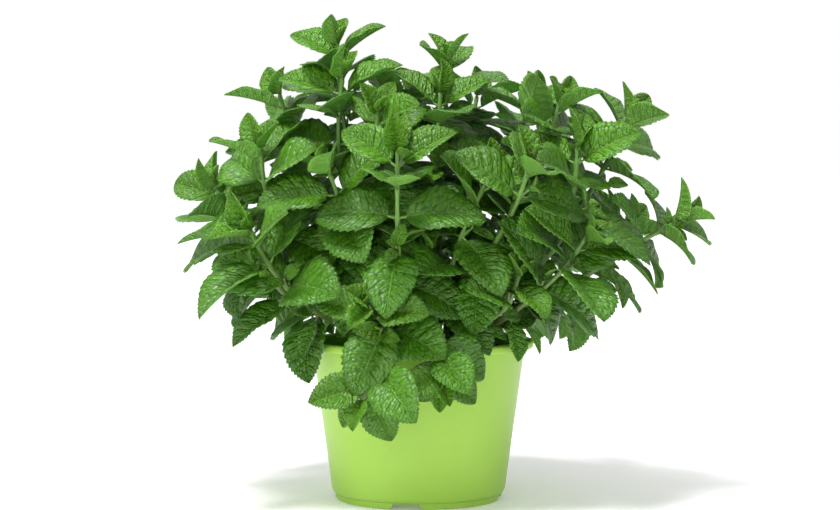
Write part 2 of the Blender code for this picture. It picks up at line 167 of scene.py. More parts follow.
# Small pairs: opening in degrees, share of the length, fold and youth. A shoot's very tip has three
# closed pairs, and a side shoot an outer and an inner pair.
TIP_PAIRS = ((20, 0.27, 0.9, 0.85), (12, 0.16, 1.2, 0.85), (6, 0.09, 1.4, 0.85))
TIP_STEP = 0.0012
SIDE_PAIRS = ((55, 1, 0.4, 0.40), (28, 0.65, 0.8, 0.65))
LOW_FOLD, LOW_YOUTH = 0.3, 0.25
SMALL_FACE_TIP = 0.6
SMALL_CUPPING = 1.2

# A blade's face turns towards the growing tip, the light and the outside of the bush.
FACE_TIP = 0.3
FACE_LIGHT = Vector((0, -0.3, 0.6))
FACE_OUT = 0.7
CANOPY_RADIUS = 0.09

# A shoot's guide points are in millimetres: the foot on the soil (x, y), then points along the
# stem up to its growing tip. `leaf` is the length of its largest leaf in millimetres, `turn` the
# compass angle of the top pair in degrees, and `pairs` how many pairs of leaves it still carries.
Shoot = namedtuple("Shoot", "name foot guides leaf turn pairs")
SHOOTS = (
    Shoot("front_tall", (-4, -20), ((-9, -55, 118), (-11, -76, 152), (-11, -80, 196)), 48, 80, 6),
    Shoot("front_mid", (8, -14), ((11, -42, 106), (22, -50, 146), (38, -48, 182)), 48, 60, 6),
    Shoot("front_left_low", (-30, -18), ((-58, -36, 109), (-79, -48, 131), (-90, -58, 153)), 54, 44, 4),
    Shoot("left_high", (-26, -4), ((-54, -16, 126), (-80, -26, 158), (-87, -32, 198)), 48, 130, 6),
    Shoot("far_left", (-38, 4), ((-70, 4, 112), (-100, 0, 140), (-114, 0, 176)), 46, 60, 5),
    Shoot("right_low", (34, -20), ((52, -34, 108), (75, -46, 128), (91, -50, 150)), 54, 106, 4),
    Shoot("right_front", (24, -10), ((52, -24, 120), (80, -38, 152), (87, -38, 198)), 52, 70, 6),
    Shoot("far_right", (42, 0), ((76, 2, 114), (116, 0, 140), (150, 0, 158)), 39, 125, 4),
    Shoot("right_high", (32, 14), ((62, 12, 130), (98, 8, 174), (118, 8, 216)), 44, 45, 6),
    Shoot("upper_left", (-18, -8), ((-32, -14, 140), (-44, -20, 196), (-42, -24, 236)), 50, 75, 7),
    Shoot("back_left", (-22, 24), ((-46, 46, 130), (-68, 62, 172), (-76, 66, 212)), 46, 20, 6),
    Shoot("crown_left", (-14, 10), ((-28, 8, 150), (-42, 9, 210), (-46, 10, 256)), 44, 70, 7),
    Shoot("left_shoulder", (-26, 16), ((-46, 14, 150), (-68, 13, 194), (-79, 12, 228)), 46, 110, 6),
    Shoot("back_right", (20, 26), ((44, 48, 130), (64, 64, 168), (72, 70, 206)), 46, 65, 6),
    Shoot("front_left", (-18, -24), ((-30, -38, 120), (-40, -50, 160), (-50, -56, 190)), 46, 10, 7),
    Shoot("left_inner_low", (-36, -10), ((-52, -18, 104), (-68, -28, 112), (-80, -36, 126)), 44, 35, 4),
    Shoot("front_low", (-14, -36), ((-16, -62, 102), (-19, -80, 105), (-26, -88, 115)), 46, 70, 4),
    Shoot("centre_low", (0, -32), ((2, -46, 108), (4, -54, 124), (6, -58, 142)), 42, 120, 4),
    Shoot("front_hanging", (-26, -36), ((-25, -62, 102), (-20, -84, 86), (-30, -91, 66)), 43, 68, 3),
    Shoot("front_right_low", (8, -42), ((9, -62, 103), (10, -80, 94), (12, -90, 76)), 36, 60, 4),
    Shoot("right_inner", (24, -34), ((34, -46, 102), (46, -56, 110), (54, -62, 130)), 40, 50, 3),
    Shoot("right_mid", (16, -22), ((32, -44, 130), (50, -60, 162), (60, -66, 190)), 46, 15, 6),
    Shoot("upper_mid", (-8, -6), ((-14, -30, 140), (-22, -44, 185), (-22, -50, 216)), 44, 45, 6),
    Shoot("upper_front", (2, 2), ((6, -18, 150), (10, -26, 200), (12, -26, 228)), 44, 95, 6),
    Shoot("crown_mid", (8, 14), ((12, 8, 150), (15, 6, 216), (16, 5, 247)), 42, 150, 7),
    Shoot("crown_inner", (-6, 20), ((-9, 20, 150), (-13, 22, 196), (-14, 24, 235)), 40, 50, 7),
    Shoot("crown_right", (16, 8), ((36, 8, 140), (54, 8, 192), (63, 8, 226)), 42, 105, 7),
    Shoot("upper_right", (26, 2), ((46, -4, 140), (68, -6, 190), (79, -8, 223)), 42, 65, 6),
    Shoot("back_mid", (-2, 32), ((-4, 60, 140), (-4, 72, 190), (-2, 78, 227)), 46, 35, 6),
    Shoot("back_upper", (12, 36), ((24, 46, 150), (30, 46, 200), (34, 48, 228)), 44, 80, 6),
    Shoot("back_low_left", (-26, 36), ((-46, 70, 112), (-62, 92, 130), (-70, 100, 158)), 46, 50, 5),
    Shoot("back_low_mid", (2, 46), ((4, 80, 110), (6, 104, 130), (8, 112, 160)), 46, 25, 5),
    Shoot("back_low_right", (28, 38), ((56, 68, 110), (76, 90, 130), (86, 98, 160)), 46, 70, 5),
    Shoot("back_far_left", (-38, 20), ((-74, 40, 112), (-94, 52, 134), (-104, 56, 164)), 46, 15, 5),
    Shoot("back_far_right", (42, 18), ((78, 34, 110), (104, 44, 128), (121, 46, 153)), 46, 60, 5),
)

# The simple leaf that tests for room: half width at stations, as shares of the leaf's length.
PETIOLE_HALF_WIDTH = 0.0008
LEAF_STATIONS = ((0.0, None), (0.32, 0.29), (0.66, 0.27))
LEAF_FOLD = math.tan(math.radians(16))
STALK_LENGTH = 0.0045
PROBE_GROWTH = 1.04
PROBE_HALF_THICKNESS = 0.0011

# A leaf that would run into its neighbours is tried again swung, lifted and then smaller.
SWINGS = LIFTS = (0, 12, -12, 24, -24, 36, -36)
SHRINKS = (1.0, 0.88, 0.76, 0.64)
POT_CLEARANCE = 0.002
FRAME_SLACK = 0.003

# Small side shoots beside the grown leaves. Each range grows by the second one for every pair down.
SIDE_TRIES = 6
SIDE_REACH, SIDE_REACH_GROWTH = (0.0035, 0.0060), (0.0005, 0.0025)
SIDE_LEAF, SIDE_LEAF_GROWTH = (0.011, 0.015), (0.0010, 0.0028)

# Leaves on the foot of a stem, below its grown pairs
LOW_PAIRS = 6
LOW_PAIR_SPACING = 0.012
LOW_TRIES = 10
LOW_LEAF = (0.024, 0.035)
LOW_LEAF_HEIGHT = 0.006
LOW_LEAF_STALK = 0.0040

# Leaf: rows and columns of the flat blank, and where the columns lie across the half blade. The
# small blank serves leaves up to the length of a small leaf.
SMALL_LEAF = 0.018
LARGE_ROWS, LARGE_COLUMNS = 28, (0.0, 0.09, 0.38, 0.70, 1.0)
SMALL_ROWS, SMALL_COLUMNS = 12, (0.0, 0.5, 1.0)
ROWS_PER_VEIN = 4
VEIN_UNIT = 10
VEIN_SLANT = 0.18
OUTLINE = (0.64, 0.88)
BLADE_HALF_WIDTH = 0.315
BLADE_CUP = 0.22
BLADE_NECK, BLADE_POINT = 0.0006, 0.00012
TEETH_START, TEETH_RISE, TEETH_FALL = 0.10, 0.18, 0.10
TOOTH_GAP = 0.45
BLADE_BUMP = 0.0035
BLADE_WAVE = 0.016
BLADE_TWIST = 0.28
BLADE_BEND = 0.05
KEEL_BASE, KEEL_TIP = 0.00065, 0.00010
VEIN_RIDGE = 0.00008
EDGE_THINNESS = 0.6
STALK_SIDES, STALK_RINGS = 6, 4
STALK_UNDER_BLADE = 0.07
STALK_FULLNESS, STALK_TIP_RADIUS, STALK_SINK = 1.15, 0.00035, 0.00045
STALK_FULL_LEAF, STALK_LEAST = 0.030, 0.45
SIDE_STEM_RADII = (0.0010, 0.0007)

# Stage: the name, place and size of each light
LIGHTS = (("key", (-0.45, -0.55, 1.95), 0.55), ("front", (-0.7, -2.3, 0.4), 1.6))
FLOOR_RADIUS, FLOOR_SIDES = 14, 96

Blade = namedtuple("Blade", "base direction normal length droop stalk width fold youth shade seed")


def body_radius(height):
    """Radius of the pot's outer wall at a height above the floor."""
    share = (height - FOOT_HEIGHT) / (POT_HEIGHT - FOOT_HEIGHT)
    return BODY_BOTTOM_RADIUS + (BODY_TOP_RADIUS - BODY_BOTTOM_RADIUS) * share


SOIL_EDGE = body_radius(SOIL_EDGE_HEIGHT) - WALL - GAP


def soil_height(x, y):
    """The soil's surface: a low crown that falls to its edge at the wall."""
    share = min(1, math.hypot(x, y) / SOIL_EDGE)
    return SOIL_CROWN_HEIGHT - (SOIL_CROWN_HEIGHT - SOIL_EDGE_HEIGHT) * share * share


# Growth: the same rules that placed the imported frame's leaves
def catmull_rom(points):
    """A smooth curve through the points."""
    ends = [2 * points[0] - points[1], *points, 2 * points[-1] - points[-2]]
    curve = []
    for before, start, end, after in zip(ends, ends[1:], ends[2:], ends[3:]):
        square = 2 * before - 5 * start + 4 * end - after
        cube = 3 * start - before - 3 * end + after
        for sample in range(CURVE_SAMPLES):
            t = sample / CURVE_SAMPLES
            curve.append(0.5 * (2 * start + (end - before) * t + square * t * t + cube * t * t * t))
    return curve + [points[-1].copy()]


def spaced(curve, step):
    """Points of the curve at equal distances of about one step, both ends kept."""
    steps = [(start, end, (end - start).length) for start, end in zip(curve, curve[1:])]
    total = sum(length for _, _, length in steps)
    count = max(2, round(total / step))
    wanted = [total * index / count for index in range(1, count)]
    points, travelled = [curve[0]], 0.0
    for start, end, length in steps:
        while wanted and wanted[0] <= travelled + length:
            points.append(start.lerp(end, (wanted.pop(0) - travelled) / length))
        travelled += length
    return points + [curve[-1]]


class Path:
    """A stem's centre line, as points about a step apart from foot to tip."""

    def __init__(self, shoot):
        x, y = (value * MM for value in shoot.foot)
        ground = soil_height(x, y)
        guides = [Vector(point) * MM for point in shoot.guides]
        smooth = catmull_rom([Vector((x, y, ground + STEM_UPRIGHT)), *guides])
        self.points = [Vector((x, y, ground - STEM_BURIED)), *spaced(smooth, STEM_STEP)]
        steps = ((end - start).length for start, end in zip(self.points, self.points[1:]))
        self.lengths = list(itertools.accumulate(steps, initial=0.0))

    def below_tip(self, distance):
        """The place and the upward direction at a distance back from the tip."""
        place = max(0.0, self.lengths[-1] - distance)
        index = max(step for step, length in enumerate(self.lengths[:-1]) if length <= place)
        start, end = self.points[index : index + 2]
        share = (place - self.lengths[index]) / (end - start).length
        return start.lerp(end, share), (end - start).normalized()


def stem_half_width(share):
    """Half the width of a stem at a share of the way from its foot to its tip."""
    return STEM_HALF_WIDTH + (STEM_TIP_HALF_WIDTH - STEM_HALF_WIDTH) * share


def stem_mesh(path):
    """The square stem as a bevelled curve made into a closed mesh."""
    curve = bpy.data.curves.new("stem", "CURVE")
    curve.dimensions = "3D"
    curve.bevel_depth = math.sqrt(2)
    curve.bevel_resolution = 0
    curve.use_fill_caps = True
    spline = curve.splines.new("POLY")
    last = len(path.points) - 1
    spline.points.add(last)
    for index, place in enumerate(path.points):
        spline.points[index].co = (*place, 1)
        spline.points[index].radius = stem_half_width(index / last)
    guide = bpy.data.objects.new("stem_guide", curve)
    bpy.context.scene.collection.objects.link(guide)
    graph = bpy.context.evaluated_depsgraph_get()
    mesh = bpy.data.meshes.new_from_object(guide.evaluated_get(graph))
    bpy.data.objects.remove(guide)
    bm = bmesh.new()
    bm.from_mesh(mesh)
    bpy.data.meshes.remove(mesh)
    return bm


def branching(along, azimuth, opening):
    """The direction of a leaf from its side of the stem and its angle to the stem."""
    across = (Vector((1, 0, 0)) - along * along.x).normalized()
    around = across * math.cos(azimuth) + along.cross(across) * math.sin(azimuth)
    return along * math.cos(opening) + around * math.sin(opening)


def square_to(direction, way):
    """The part of a way that is square to a direction, one unit long."""
    return (way - direction * way.dot(direction)).normalized()


def facing(base, direction, along, tip=FACE_TIP):
    """The way a leaf's face looks: towards the growing tip, the light and outwards."""
    outward = Vector((base.x, base.y, 0)) / CANOPY_RADIUS
    return square_to(direction, along * tip + FACE_LIGHT + outward * FACE_OUT)


def along_blade(blade, shares):
    """Points of a drooping leaf's midrib at shares of its length, and the way its face looks there."""
    turn = blade.droop * np.array(shares)[:, None]
    reach = blade.length / blade.droop
    forward, face = np.array(blade.direction), np.array(blade.normal)
    points = np.array(blade.base) + reach * (np.sin(turn) * forward - (1 - np.cos(turn)) * face)
    return points, face * np.cos(turn) + forward * np.sin(turn)


class Leaf:
    """Where a leaf sits: its base, the way it points, the way its face looks, size and droop."""

    def __init__(self, shoot, path, pair, side, swing, lift, shrink):
        rule = PAIRS[pair]
        full = shoot.leaf * MM
        self.base, along = path.below_tip(rule.below_tip * full)
        azimuth = math.radians(shoot.turn + PAIR_QUARTER_TURN * pair + 180 * side + swing)
        self.direction = branching(along, azimuth, math.radians(rule.opening - lift))
        self.normal = facing(self.base, self.direction, along)
        self.length = rule.length * full * shrink
        self.droop = math.radians(rule.droop)
        self.base += self.direction * ROOTED

    def probe(self, stalk):
        """A slightly larger and thicker folded blade, with or without its stalk, to test for room."""
        start = 0.0 if stalk else STALK_LENGTH / self.length
        shares = [max(share, start) for share, _ in LEAF_STATIONS]
        points, faces = along_blade(self, [*shares, PROBE_GROWTH])
        bm = bmesh.new()
        rings = []
        for (_, width), point, face in zip(LEAF_STATIONS, points, faces):
            half, thick, rise = PETIOLE_HALF_WIDTH, PETIOLE_HALF_WIDTH, 0
            if width:
                half, thick = width * self.length * PROBE_GROWTH, PROBE_HALF_THICKNESS
                rise = half * LEAF_FOLD
            aside = np.cross(self.direction, self.normal) * half
            left, right = point + aside + face * rise, point - aside + face * rise
            corners = (left, point + face * thick, right, point - face * thick)
            rings.append([bm.verts.new(corner) for corner in corners])
        tip = bm.verts.new(points[-1])
        bm.faces.new(rings[0])
        for corner, following in ((0, 1), (1, 2), (2, 3), (3, 0)):
            bm.faces.new((rings[-1][corner], tip, rings[-1][following]))
            for lower, upper in zip(rings, rings[1:]):
                bm.faces.new((lower[corner], upper[corner], upper[following], lower[following]))
        bmesh.ops.triangulate(bm, faces=bm.faces)
        return bm


class Shell:
    """A surface to keep clear of, the box round it and, where that matters, the shoot it belongs to."""

    def __init__(self, tree, places, owner=None):
        self.tree, self.owner = tree, owner
        self.low, self.high = places.min(axis=0).tolist(), places.max(axis=0).tolist()

    def meets(self, others):
        """True where it runs into one of the others."""
        for other in others:
            sides = zip(self.low, other.high, other.low, self.high)
            if all(a <= b and c <= d for a, b, c, d in sides) and self.tree.overlap(other.tree):
                return True
        return False


def rough_shell(bm, owner):
    """The shell of a stem or a simple leaf."""
    return Shell(BVHTree.FromBMesh(bm), np.array([vert.co for vert in bm.verts]), owner)


def outside_pot(place):
    """True above the pot's mouth or clear of its wall."""
    beside_lip = place.z > POT_HEIGHT - LIP_DEPTH - POT_CLEARANCE
    wall = RIM_RADIUS if beside_lip else body_radius(place.z)
    return place.z > POT_HEIGHT + POT_CLEARANCE or math.hypot(*place.xy) >= wall + POT_CLEARANCE


def clear_of_pot(bm):
    """True where every corner and edge middle is outside the pot."""
    middles = [(edge.verts[0].co + edge.verts[1].co) / 2 for edge in bm.edges]
    return all(outside_pot(place) for place in [vert.co for vert in bm.verts] + middles)


@functools.cache
def grow():
    """Places every leaf, the largest first. Returns each shoot's path, then its (pair, side, Leaf)s."""
    paths = [Path(shoot) for shoot in SHOOTS]
    stems = [rough_shell(stem_mesh(path), index) for index, path in enumerate(paths)]
    wanted = [
        (index, pair, side)
        for index, shoot in enumerate(SHOOTS)
        for pair, side in itertools.product(range(shoot.pairs), range(2))
    ]
    wanted.sort(key=lambda key: -PAIRS[key[1]].length * SHOOTS[key[0]].leaf)
    changes = itertools.product(SHRINKS, SWINGS, LIFTS)
    changes = sorted(changes, key=lambda change: (-change[0], abs(change[1]) + abs(change[2])))
    leaves, whole_leaves, blades = [[] for _ in SHOOTS], [], []
    for index, pair, side in wanted:
        own = [other for other in stems + blades if other.owner == index]
        strangers = [other for other in stems + whole_leaves if other.owner != index]
        for shrink, swing, lift in changes:
            leaf = Leaf(SHOOTS[index], paths[index], pair, side, swing, lift, shrink)
            probe = leaf.probe(stalk=True)
            if not clear_of_pot(probe):
                continue
            whole, blade = rough_shell(probe, index), rough_shell(leaf.probe(stalk=False), index)
            if whole.meets(strangers) or blade.meets(own):
                continue
            leaves[index].append((pair, side, leaf))
            whole_leaves.append(whole)
            blades.append(blade)
            break
    return paths, leaves


# Settings
def number_property(name, description, default, **limits):
    return bpy.props.FloatProperty(name=name, description=description, default=default, **limits)


def length_property(name, description, default):
    return number_property(name, description, default, unit="LENGTH", min=0, precision=5)


def share_property(name, description, default):
    return number_property(name, description, default, subtype="FACTOR", min=0, max=1)


def colour_property(name, description, default):
    return bpy.props.FloatVectorProperty(
        name=name, description=description, subtype="COLOR", size=3, min=0, max=1, default=default
    )


class PotSettings(bpy.types.PropertyGroup):
    colour: colour_property("Plastic", "Colour of the moulded plastic", (0.355, 0.60, 0.078))
    wear_colour: colour_property("Scuffs", "Colour of rubbed edges", (0.50, 0.76, 0.20))
    roughness: share_property("Roughness", "Roughness of the plastic", 0.42)


class SoilSettings(bpy.types.PropertyGroup):
    dark: colour_property("Wet soil", "Colour of the damp hollows", (0.008, 0.006, 0.004))
    light: colour_property("Dry soil", "Colour of the drier crumbs", (0.05, 0.032, 0.02))
    relief: length_property("Unevenness", "Height of the soil's lumps", 0.0022)
    crumb: length_property("Crumb size", "Radius of the largest crumbs", 0.0022)
    crumbs: bpy.props.IntProperty(name="Crumbs", description="Loose crumbs", min=0, default=420)


class StemSettings(bpy.types.PropertyGroup):
    young: colour_property("Young stem", "Colour near the growing tip", (0.135, 0.30, 0.045))
    old: colour_property("Old stem", "Colour near the soil", (0.16, 0.22, 0.07))
    roughness: share_property("Roughness", "Roughness of the stems", 0.5)


class LeafSettings(bpy.types.PropertyGroup):
    old: colour_property("Grown leaf", "Upper face of a full-grown leaf", (0.051, 0.178, 0.0020))
    young: colour_property("Young leaf", "Upper face of a new leaf", (0.150, 0.370, 0.006))
    vein: colour_property("Veins", "Colour of the veins", (0.16, 0.37, 0.03))
    under: colour_property("Underside", "Colour of the lower face", (0.125, 0.275, 0.045))
    tooth: share_property("Teeth", "Depth of the teeth as a share of the length", 0.019)
    quilt: share_property("Quilting", "Height between veins as a share of the length", 0.018)
    thickness: length_property("Thickness", "Thickness of a blade", 0.00032)
    roughness: share_property("Roughness", "Roughness of the upper face", 0.40)


class StageSettings(bpy.types.PropertyGroup):
    floor: colour_property("Floor", "Colour of the floor", (0.93, 0.93, 0.93))
    lens: number_property("Lens", "Focal length", 95, unit="CAMERA", min=1)
    aside: number_property("Aside", "How far the camera stands to the right", 0.0008, unit="LENGTH")
    distance: length_property("Distance", "Level distance of the camera from the pot", 1.25)
    aim: length_property("Aim", "Height that the camera points at", 0.1375)
    elevation: number_property("Elevation", "Camera above level", math.radians(2.75), subtype="ANGLE")
    key: number_property("Key light", "Power of the main light", 50, unit="POWER", min=0)
    fill: number_property("Fill light", "Power of the front light", 23, unit="POWER", min=0)
    backdrop: number_property("Backdrop", "Brightness of the air behind the pot", 1.0, min=0)
    sky: number_property("Overhead", "Light from above", 0.70, min=0)
    rear: number_property("Rear", "Light from behind", 0.38, min=0)
    horizon: number_property("Level", "Light from all sides", 0.10, min=0)
    sweep: number_property("Sweep", "Glow of the far floor", 0.45, min=0)


# Tools that several pieces use
def only(*objects):
    """Selects just these objects, the last one active."""
    bpy.ops.object.select_all(action="DESELECT")
    for obj in objects:
        obj.select_set(True)
    bpy.context.view_layer.objects.active = objects[-1]


def named(obj, name):
    obj.name = name
    obj.data.name = name
    return obj


def added(operator, name, *finishes, **settings):
    """Adds a primitive, light or camera with nothing else selected, and names and finishes it."""
    bpy.ops.object.select_all(action="DESELECT")
    operator(**settings)
    made = named(bpy.context.active_object, name)
    for finish in finishes:
        made.data.materials.append(finish)
    return made


def applied(obj, kind, **settings):
    """Adds a modifier and applies it at once."""
    modifier = obj.modifiers.new(kind.title(), kind)
    for name, value in settings.items():
        setattr(modifier, name, value)
    only(obj)
    bpy.ops.object.modifier_apply(modifier=modifier.name)


def joined(name, objects):
    only(*objects)
    if len(objects) > 1:
        bpy.ops.object.join()
    return named(bpy.context.active_object, name)


def coordinates(mesh):
    """The places of a mesh's corners, as rows of x, y and z."""
    found = np.empty(len(mesh.vertices) * 3)
    mesh.vertices.foreach_get("co", found)
    return found.reshape(-1, 3)


def corners_of_faces(mesh):
    return [tuple(face.vertices) for face in mesh.polygons]


def bent_copy(blank, places, **marks):
    """A copy of a blank with a mesh of its own, its corners at new places, and marked all over."""
    mesh = blank.data.copy()
    mesh.vertices.foreach_set("co", places.ravel())
    for name, value in marks.items():
        mark = mesh.attributes.new(name, "FLOAT", "POINT")
        mark.data.foreach_set("value", np.full(len(mesh.vertices), value))
    copy = bpy.data.objects.new(blank.name, mesh)
    bpy.context.scene.collection.objects.link(copy)
    return copy


def remove(*objects):
    for obj in objects:
        bpy.data.objects.remove(obj)


def settle(piece, slot, *nodes):
    """Hands a finished piece to the frame."""
    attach(piece, "root")
    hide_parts(*nodes)


def face_outwards():
    """Turns the faces outwards and leaves edit mode."""
    bpy.ops.mesh.select_all(action="SELECT")
    bpy.ops.mesh.normals_make_consistent(inside=False)
    bpy.ops.object.mode_set(mode="OBJECT")


def turned_shell(name, outer, inner, sides):
    """Rings drawn out from a rim circle: down the outside to the middle, then down the inside."""
    start = {"vertices": sides, "radius": outer[0][0], "location": (0, 0, outer[0][1])}
    shell = added(bpy.ops.mesh.primitive_circle_add, name, **start)
    bpy.ops.object.transform_apply()
    bpy.ops.object.mode_set(mode="EDIT")
    for profile in (outer, inner):
        bpy.ops.mesh.select_all(action="DESELECT")
        bpy.ops.mesh.select_mode(type="VERT")
        bpy.ops.mesh.select_non_manifold()
        radius, height = outer[0]
        for wide, high in profile[1:]:
            wide = max(wide, SMALLEST_RING)
            scale = wide / radius
            bpy.ops.mesh.extrude_region_move(TRANSFORM_OT_translate={"value": (0, 0, high - height)})
            bpy.ops.transform.resize(value=(scale, scale, 1), center_override=(0, 0, high))
            radius, height = wide, high
        bpy.ops.mesh.merge(type="CENTER")
    face_outwards()
    return shell


def rod_blank(name, sides, rings, *finishes):
    """A closed rod one unit round and one unit tall, drawn out ring by ring, in the last finish."""
    rod = added(bpy.ops.mesh.primitive_circle_add, name, *finishes, vertices=sides, fill_type="NGON")
    bpy.ops.object.mode_set(mode="EDIT")
    bpy.ops.mesh.select_all(action="SELECT")
    for _ in range(rings):
        bpy.ops.mesh.extrude_region_move(TRANSFORM_OT_translate={"value": (0, 0, 1 / rings)})
    face_outwards()
    bpy.ops.object.shade_smooth()
    for face in rod.data.polygons:
        face.material_index = len(finishes) - 1
    return rod


# Finishes
class Nodes:
    """Adds nodes to a tree and links them."""

    def __init__(self, tree):
        self.tree = tree

    def put(self, socket, value):
        if isinstance(value, bpy.types.NodeSocket):
            self.tree.links.new(value, socket)
        else:
            socket.default_value = value

    def add(self, kind, inputs=None, **settings):
        node = self.tree.nodes.new(f"ShaderNode{kind}")
        for name, value in settings.items():
            setattr(node, name, value)
        for name, value in (inputs or {}).items():
            self.put(node.inputs[name], value)
        return node

    def math(self, operation, *values, clamp=False):
        inputs = dict(enumerate(values))
        return self.add("Math", inputs, operation=operation, use_clamp=clamp).outputs[0]

    def times(self, first, second):
        return self.math("MULTIPLY", first, second)

    def times_plus(self, first, second, more, clamp=False):
        return self.math("MULTIPLY_ADD", first, second, more, clamp=clamp)

    def stretched(self, vector, factors):
        return self.add("VectorMath", {0: vector, 1: factors}, operation="MULTIPLY").outputs[0]

    def split(self, vector):
        return self.add("SeparateXYZ", {0: vector}).outputs

    def ramp(self, value, low, high, start=0.0, end=1.0):
        """The value from low to high, carried smoothly to start and end and held there."""
        limits = {"Value": value, "From Min": low, "From Max": high, "To Min": start, "To Max": end}
        return self.add("MapRange", limits, interpolation_type="SMOOTHSTEP").outputs[0]

    def blend(self, share, *colours):
        """A share of the way between two colours, each of them a socket or three numbers."""
        node = self.add("Mix", {0: share}, data_type="RGBA")
        for socket, colour in zip(node.inputs[6:8], colours):
            self.put(socket, colour if isinstance(colour, bpy.types.NodeSocket) else (*colour, 1))
        return node.outputs[2]

    def noise(self, vector, scale, detail=3.0, roughness=0.55):
        inputs = {"Vector": vector, "Scale": scale, "Detail": detail, "Roughness": roughness}
        return self.add("TexNoise", inputs).outputs[0]

    def bump(self, height, distance, strength=1.0):
        inputs = {"Height": height, "Distance": distance, "Strength": strength}
        return self.add("Bump", inputs).outputs[0]

    def attribute(self, name):
        return self.add("Attribute", attribute_name=name).outputs["Fac"]

    def group(self, name, inputs):
        """A shared effect, which is built when it is first used."""
        if name not in bpy.data.node_groups:
            EFFECTS[name](name)
        return self.add("Group", inputs, node_tree=bpy.data.node_groups[name]).outputs


class Finish(Nodes):
    """The nodes of a new material."""

    def __init__(self, name):
        self.material = bpy.data.materials.new(name)
        self.material.use_nodes = True
        super().__init__(self.material.node_tree)
        self.place = self.add("TexCoord").outputs["Object"]

    def tone(self, size, contrast):
        return self.group("mottle", {"Vector": self.place, "Size": size, "Contrast": contrast})[0]

    def surface(self, **inputs):
        """Feeds the sockets of the surface shader and returns the finished material."""
        sockets = self.tree.nodes["Principled BSDF"].inputs
        for name, value in inputs.items():
            self.put(sockets[name.replace("_", " ")], value)
        return self.material


def toned(colour, share):
    """A colour made darker or lighter."""
    return [min(1.0, share * value) for value in colour]


def soft(weight, radius, scale):
    """The sockets for light that passes through a surface."""
    return {"Subsurface_Weight": weight, "Subsurface_Radius": radius, "Subsurface_Scale": scale}


def new_group(name, inputs, outputs):
    """An empty node group, the sockets that it is given and the sockets that it makes."""
    tree = bpy.data.node_groups.new(name, "ShaderNodeTree")
    for side, sockets in (("INPUT", inputs), ("OUTPUT", outputs)):
        for label, kind in sockets.items():
            tree.interface.new_socket(name=label, in_out=side, socket_type=f"NodeSocket{kind}")
    start, end = tree.nodes.new("NodeGroupInput"), tree.nodes.new("NodeGroupOutput")
    return Nodes(tree), start.outputs, end.inputs


def mottle_effect(name):
    """Slow and fine changes of tone, as living and moulded surfaces have."""
    inputs = {"Vector": "Vector", "Size": "Float", "Contrast": "Float"}
    nodes, given, made = new_group(name, inputs, {"Tone": "Float"})
    broad = nodes.noise(given["Vector"], nodes.math("DIVIDE", 1.0, given["Size"]))
    fine = nodes.noise(given["Vector"], nodes.math("DIVIDE", 6.0, given["Size"]))
    both = nodes.times_plus(fine, 0.4, nodes.times(broad, 0.6))
    centred = nodes.math("SUBTRACT", both, 0.5)
    nodes.put(made["Tone"], nodes.times_plus(centred, given["Contrast"], 0.5, clamp=True))


def vein_effect(name):
    """A leaf's veins and puckers on its blade map: x across the blade, y along it, a tenth for a vein."""
    outputs = {"Vein": "Float", "Pucker": "Float", "Cell": "Float"}
    nodes, given, made = new_group(name, {"Map": "Vector", "Shift": "Float"}, outputs)
    place = nodes.split(given["Map"])
    centred = nodes.times_plus(place[0], 2.0, -1.0)
    outwards = nodes.math("ABSOLUTE", centred)
    side = nodes.times(nodes.math("GREATER_THAN", centred, 0.0), 0.5)
    count = nodes.times_plus(place[1], float(VEIN_UNIT), side)
    between = nodes.times(nodes.math("PINGPONG", count, 0.5), 2.0)
    lateral = nodes.ramp(between, 0.02, 0.16, 1.0, 0.0)
    lateral = nodes.times(lateral, nodes.ramp(outwards, 0.75, 1.0, 0.75, 0.1))
    midrib = nodes.ramp(outwards, 0.03, 0.13, 1.0, 0.0)
    nodes.put(made["Vein"], nodes.math("MAXIMUM", lateral, midrib))
    rise = nodes.ramp(between, 0.0, 0.6)
    nodes.put(made["Pucker"], nodes.times(rise, nodes.ramp(outwards, 0.02, 0.25)))
    shift = nodes.add("CombineXYZ", {0: given["Shift"], 1: given["Shift"]}).outputs[0]
    cell_map = nodes.stretched(given["Map"], (13.0, 34.0, 0.0))
    apart = nodes.stretched(shift, (37.0, 91.0, 0.0))
    moved = nodes.add("VectorMath", {0: cell_map, 1: apart}, operation="ADD").outputs[0]
    inputs = {"Vector": moved, "Scale": 1.0, "Randomness": 0.9, "Smoothness": 0.15}
    cells = nodes.add("TexVoronoi", inputs, feature="SMOOTH_F1", voronoi_dimensions="2D")
    away = nodes.times(cells.outputs["Distance"], 1.35)
    nodes.put(made["Cell"], nodes.math("SUBTRACT", 1.0, nodes.times(away, away), clamp=True))


EFFECTS = {"mottle": mottle_effect, "leaf_veins": vein_effect}


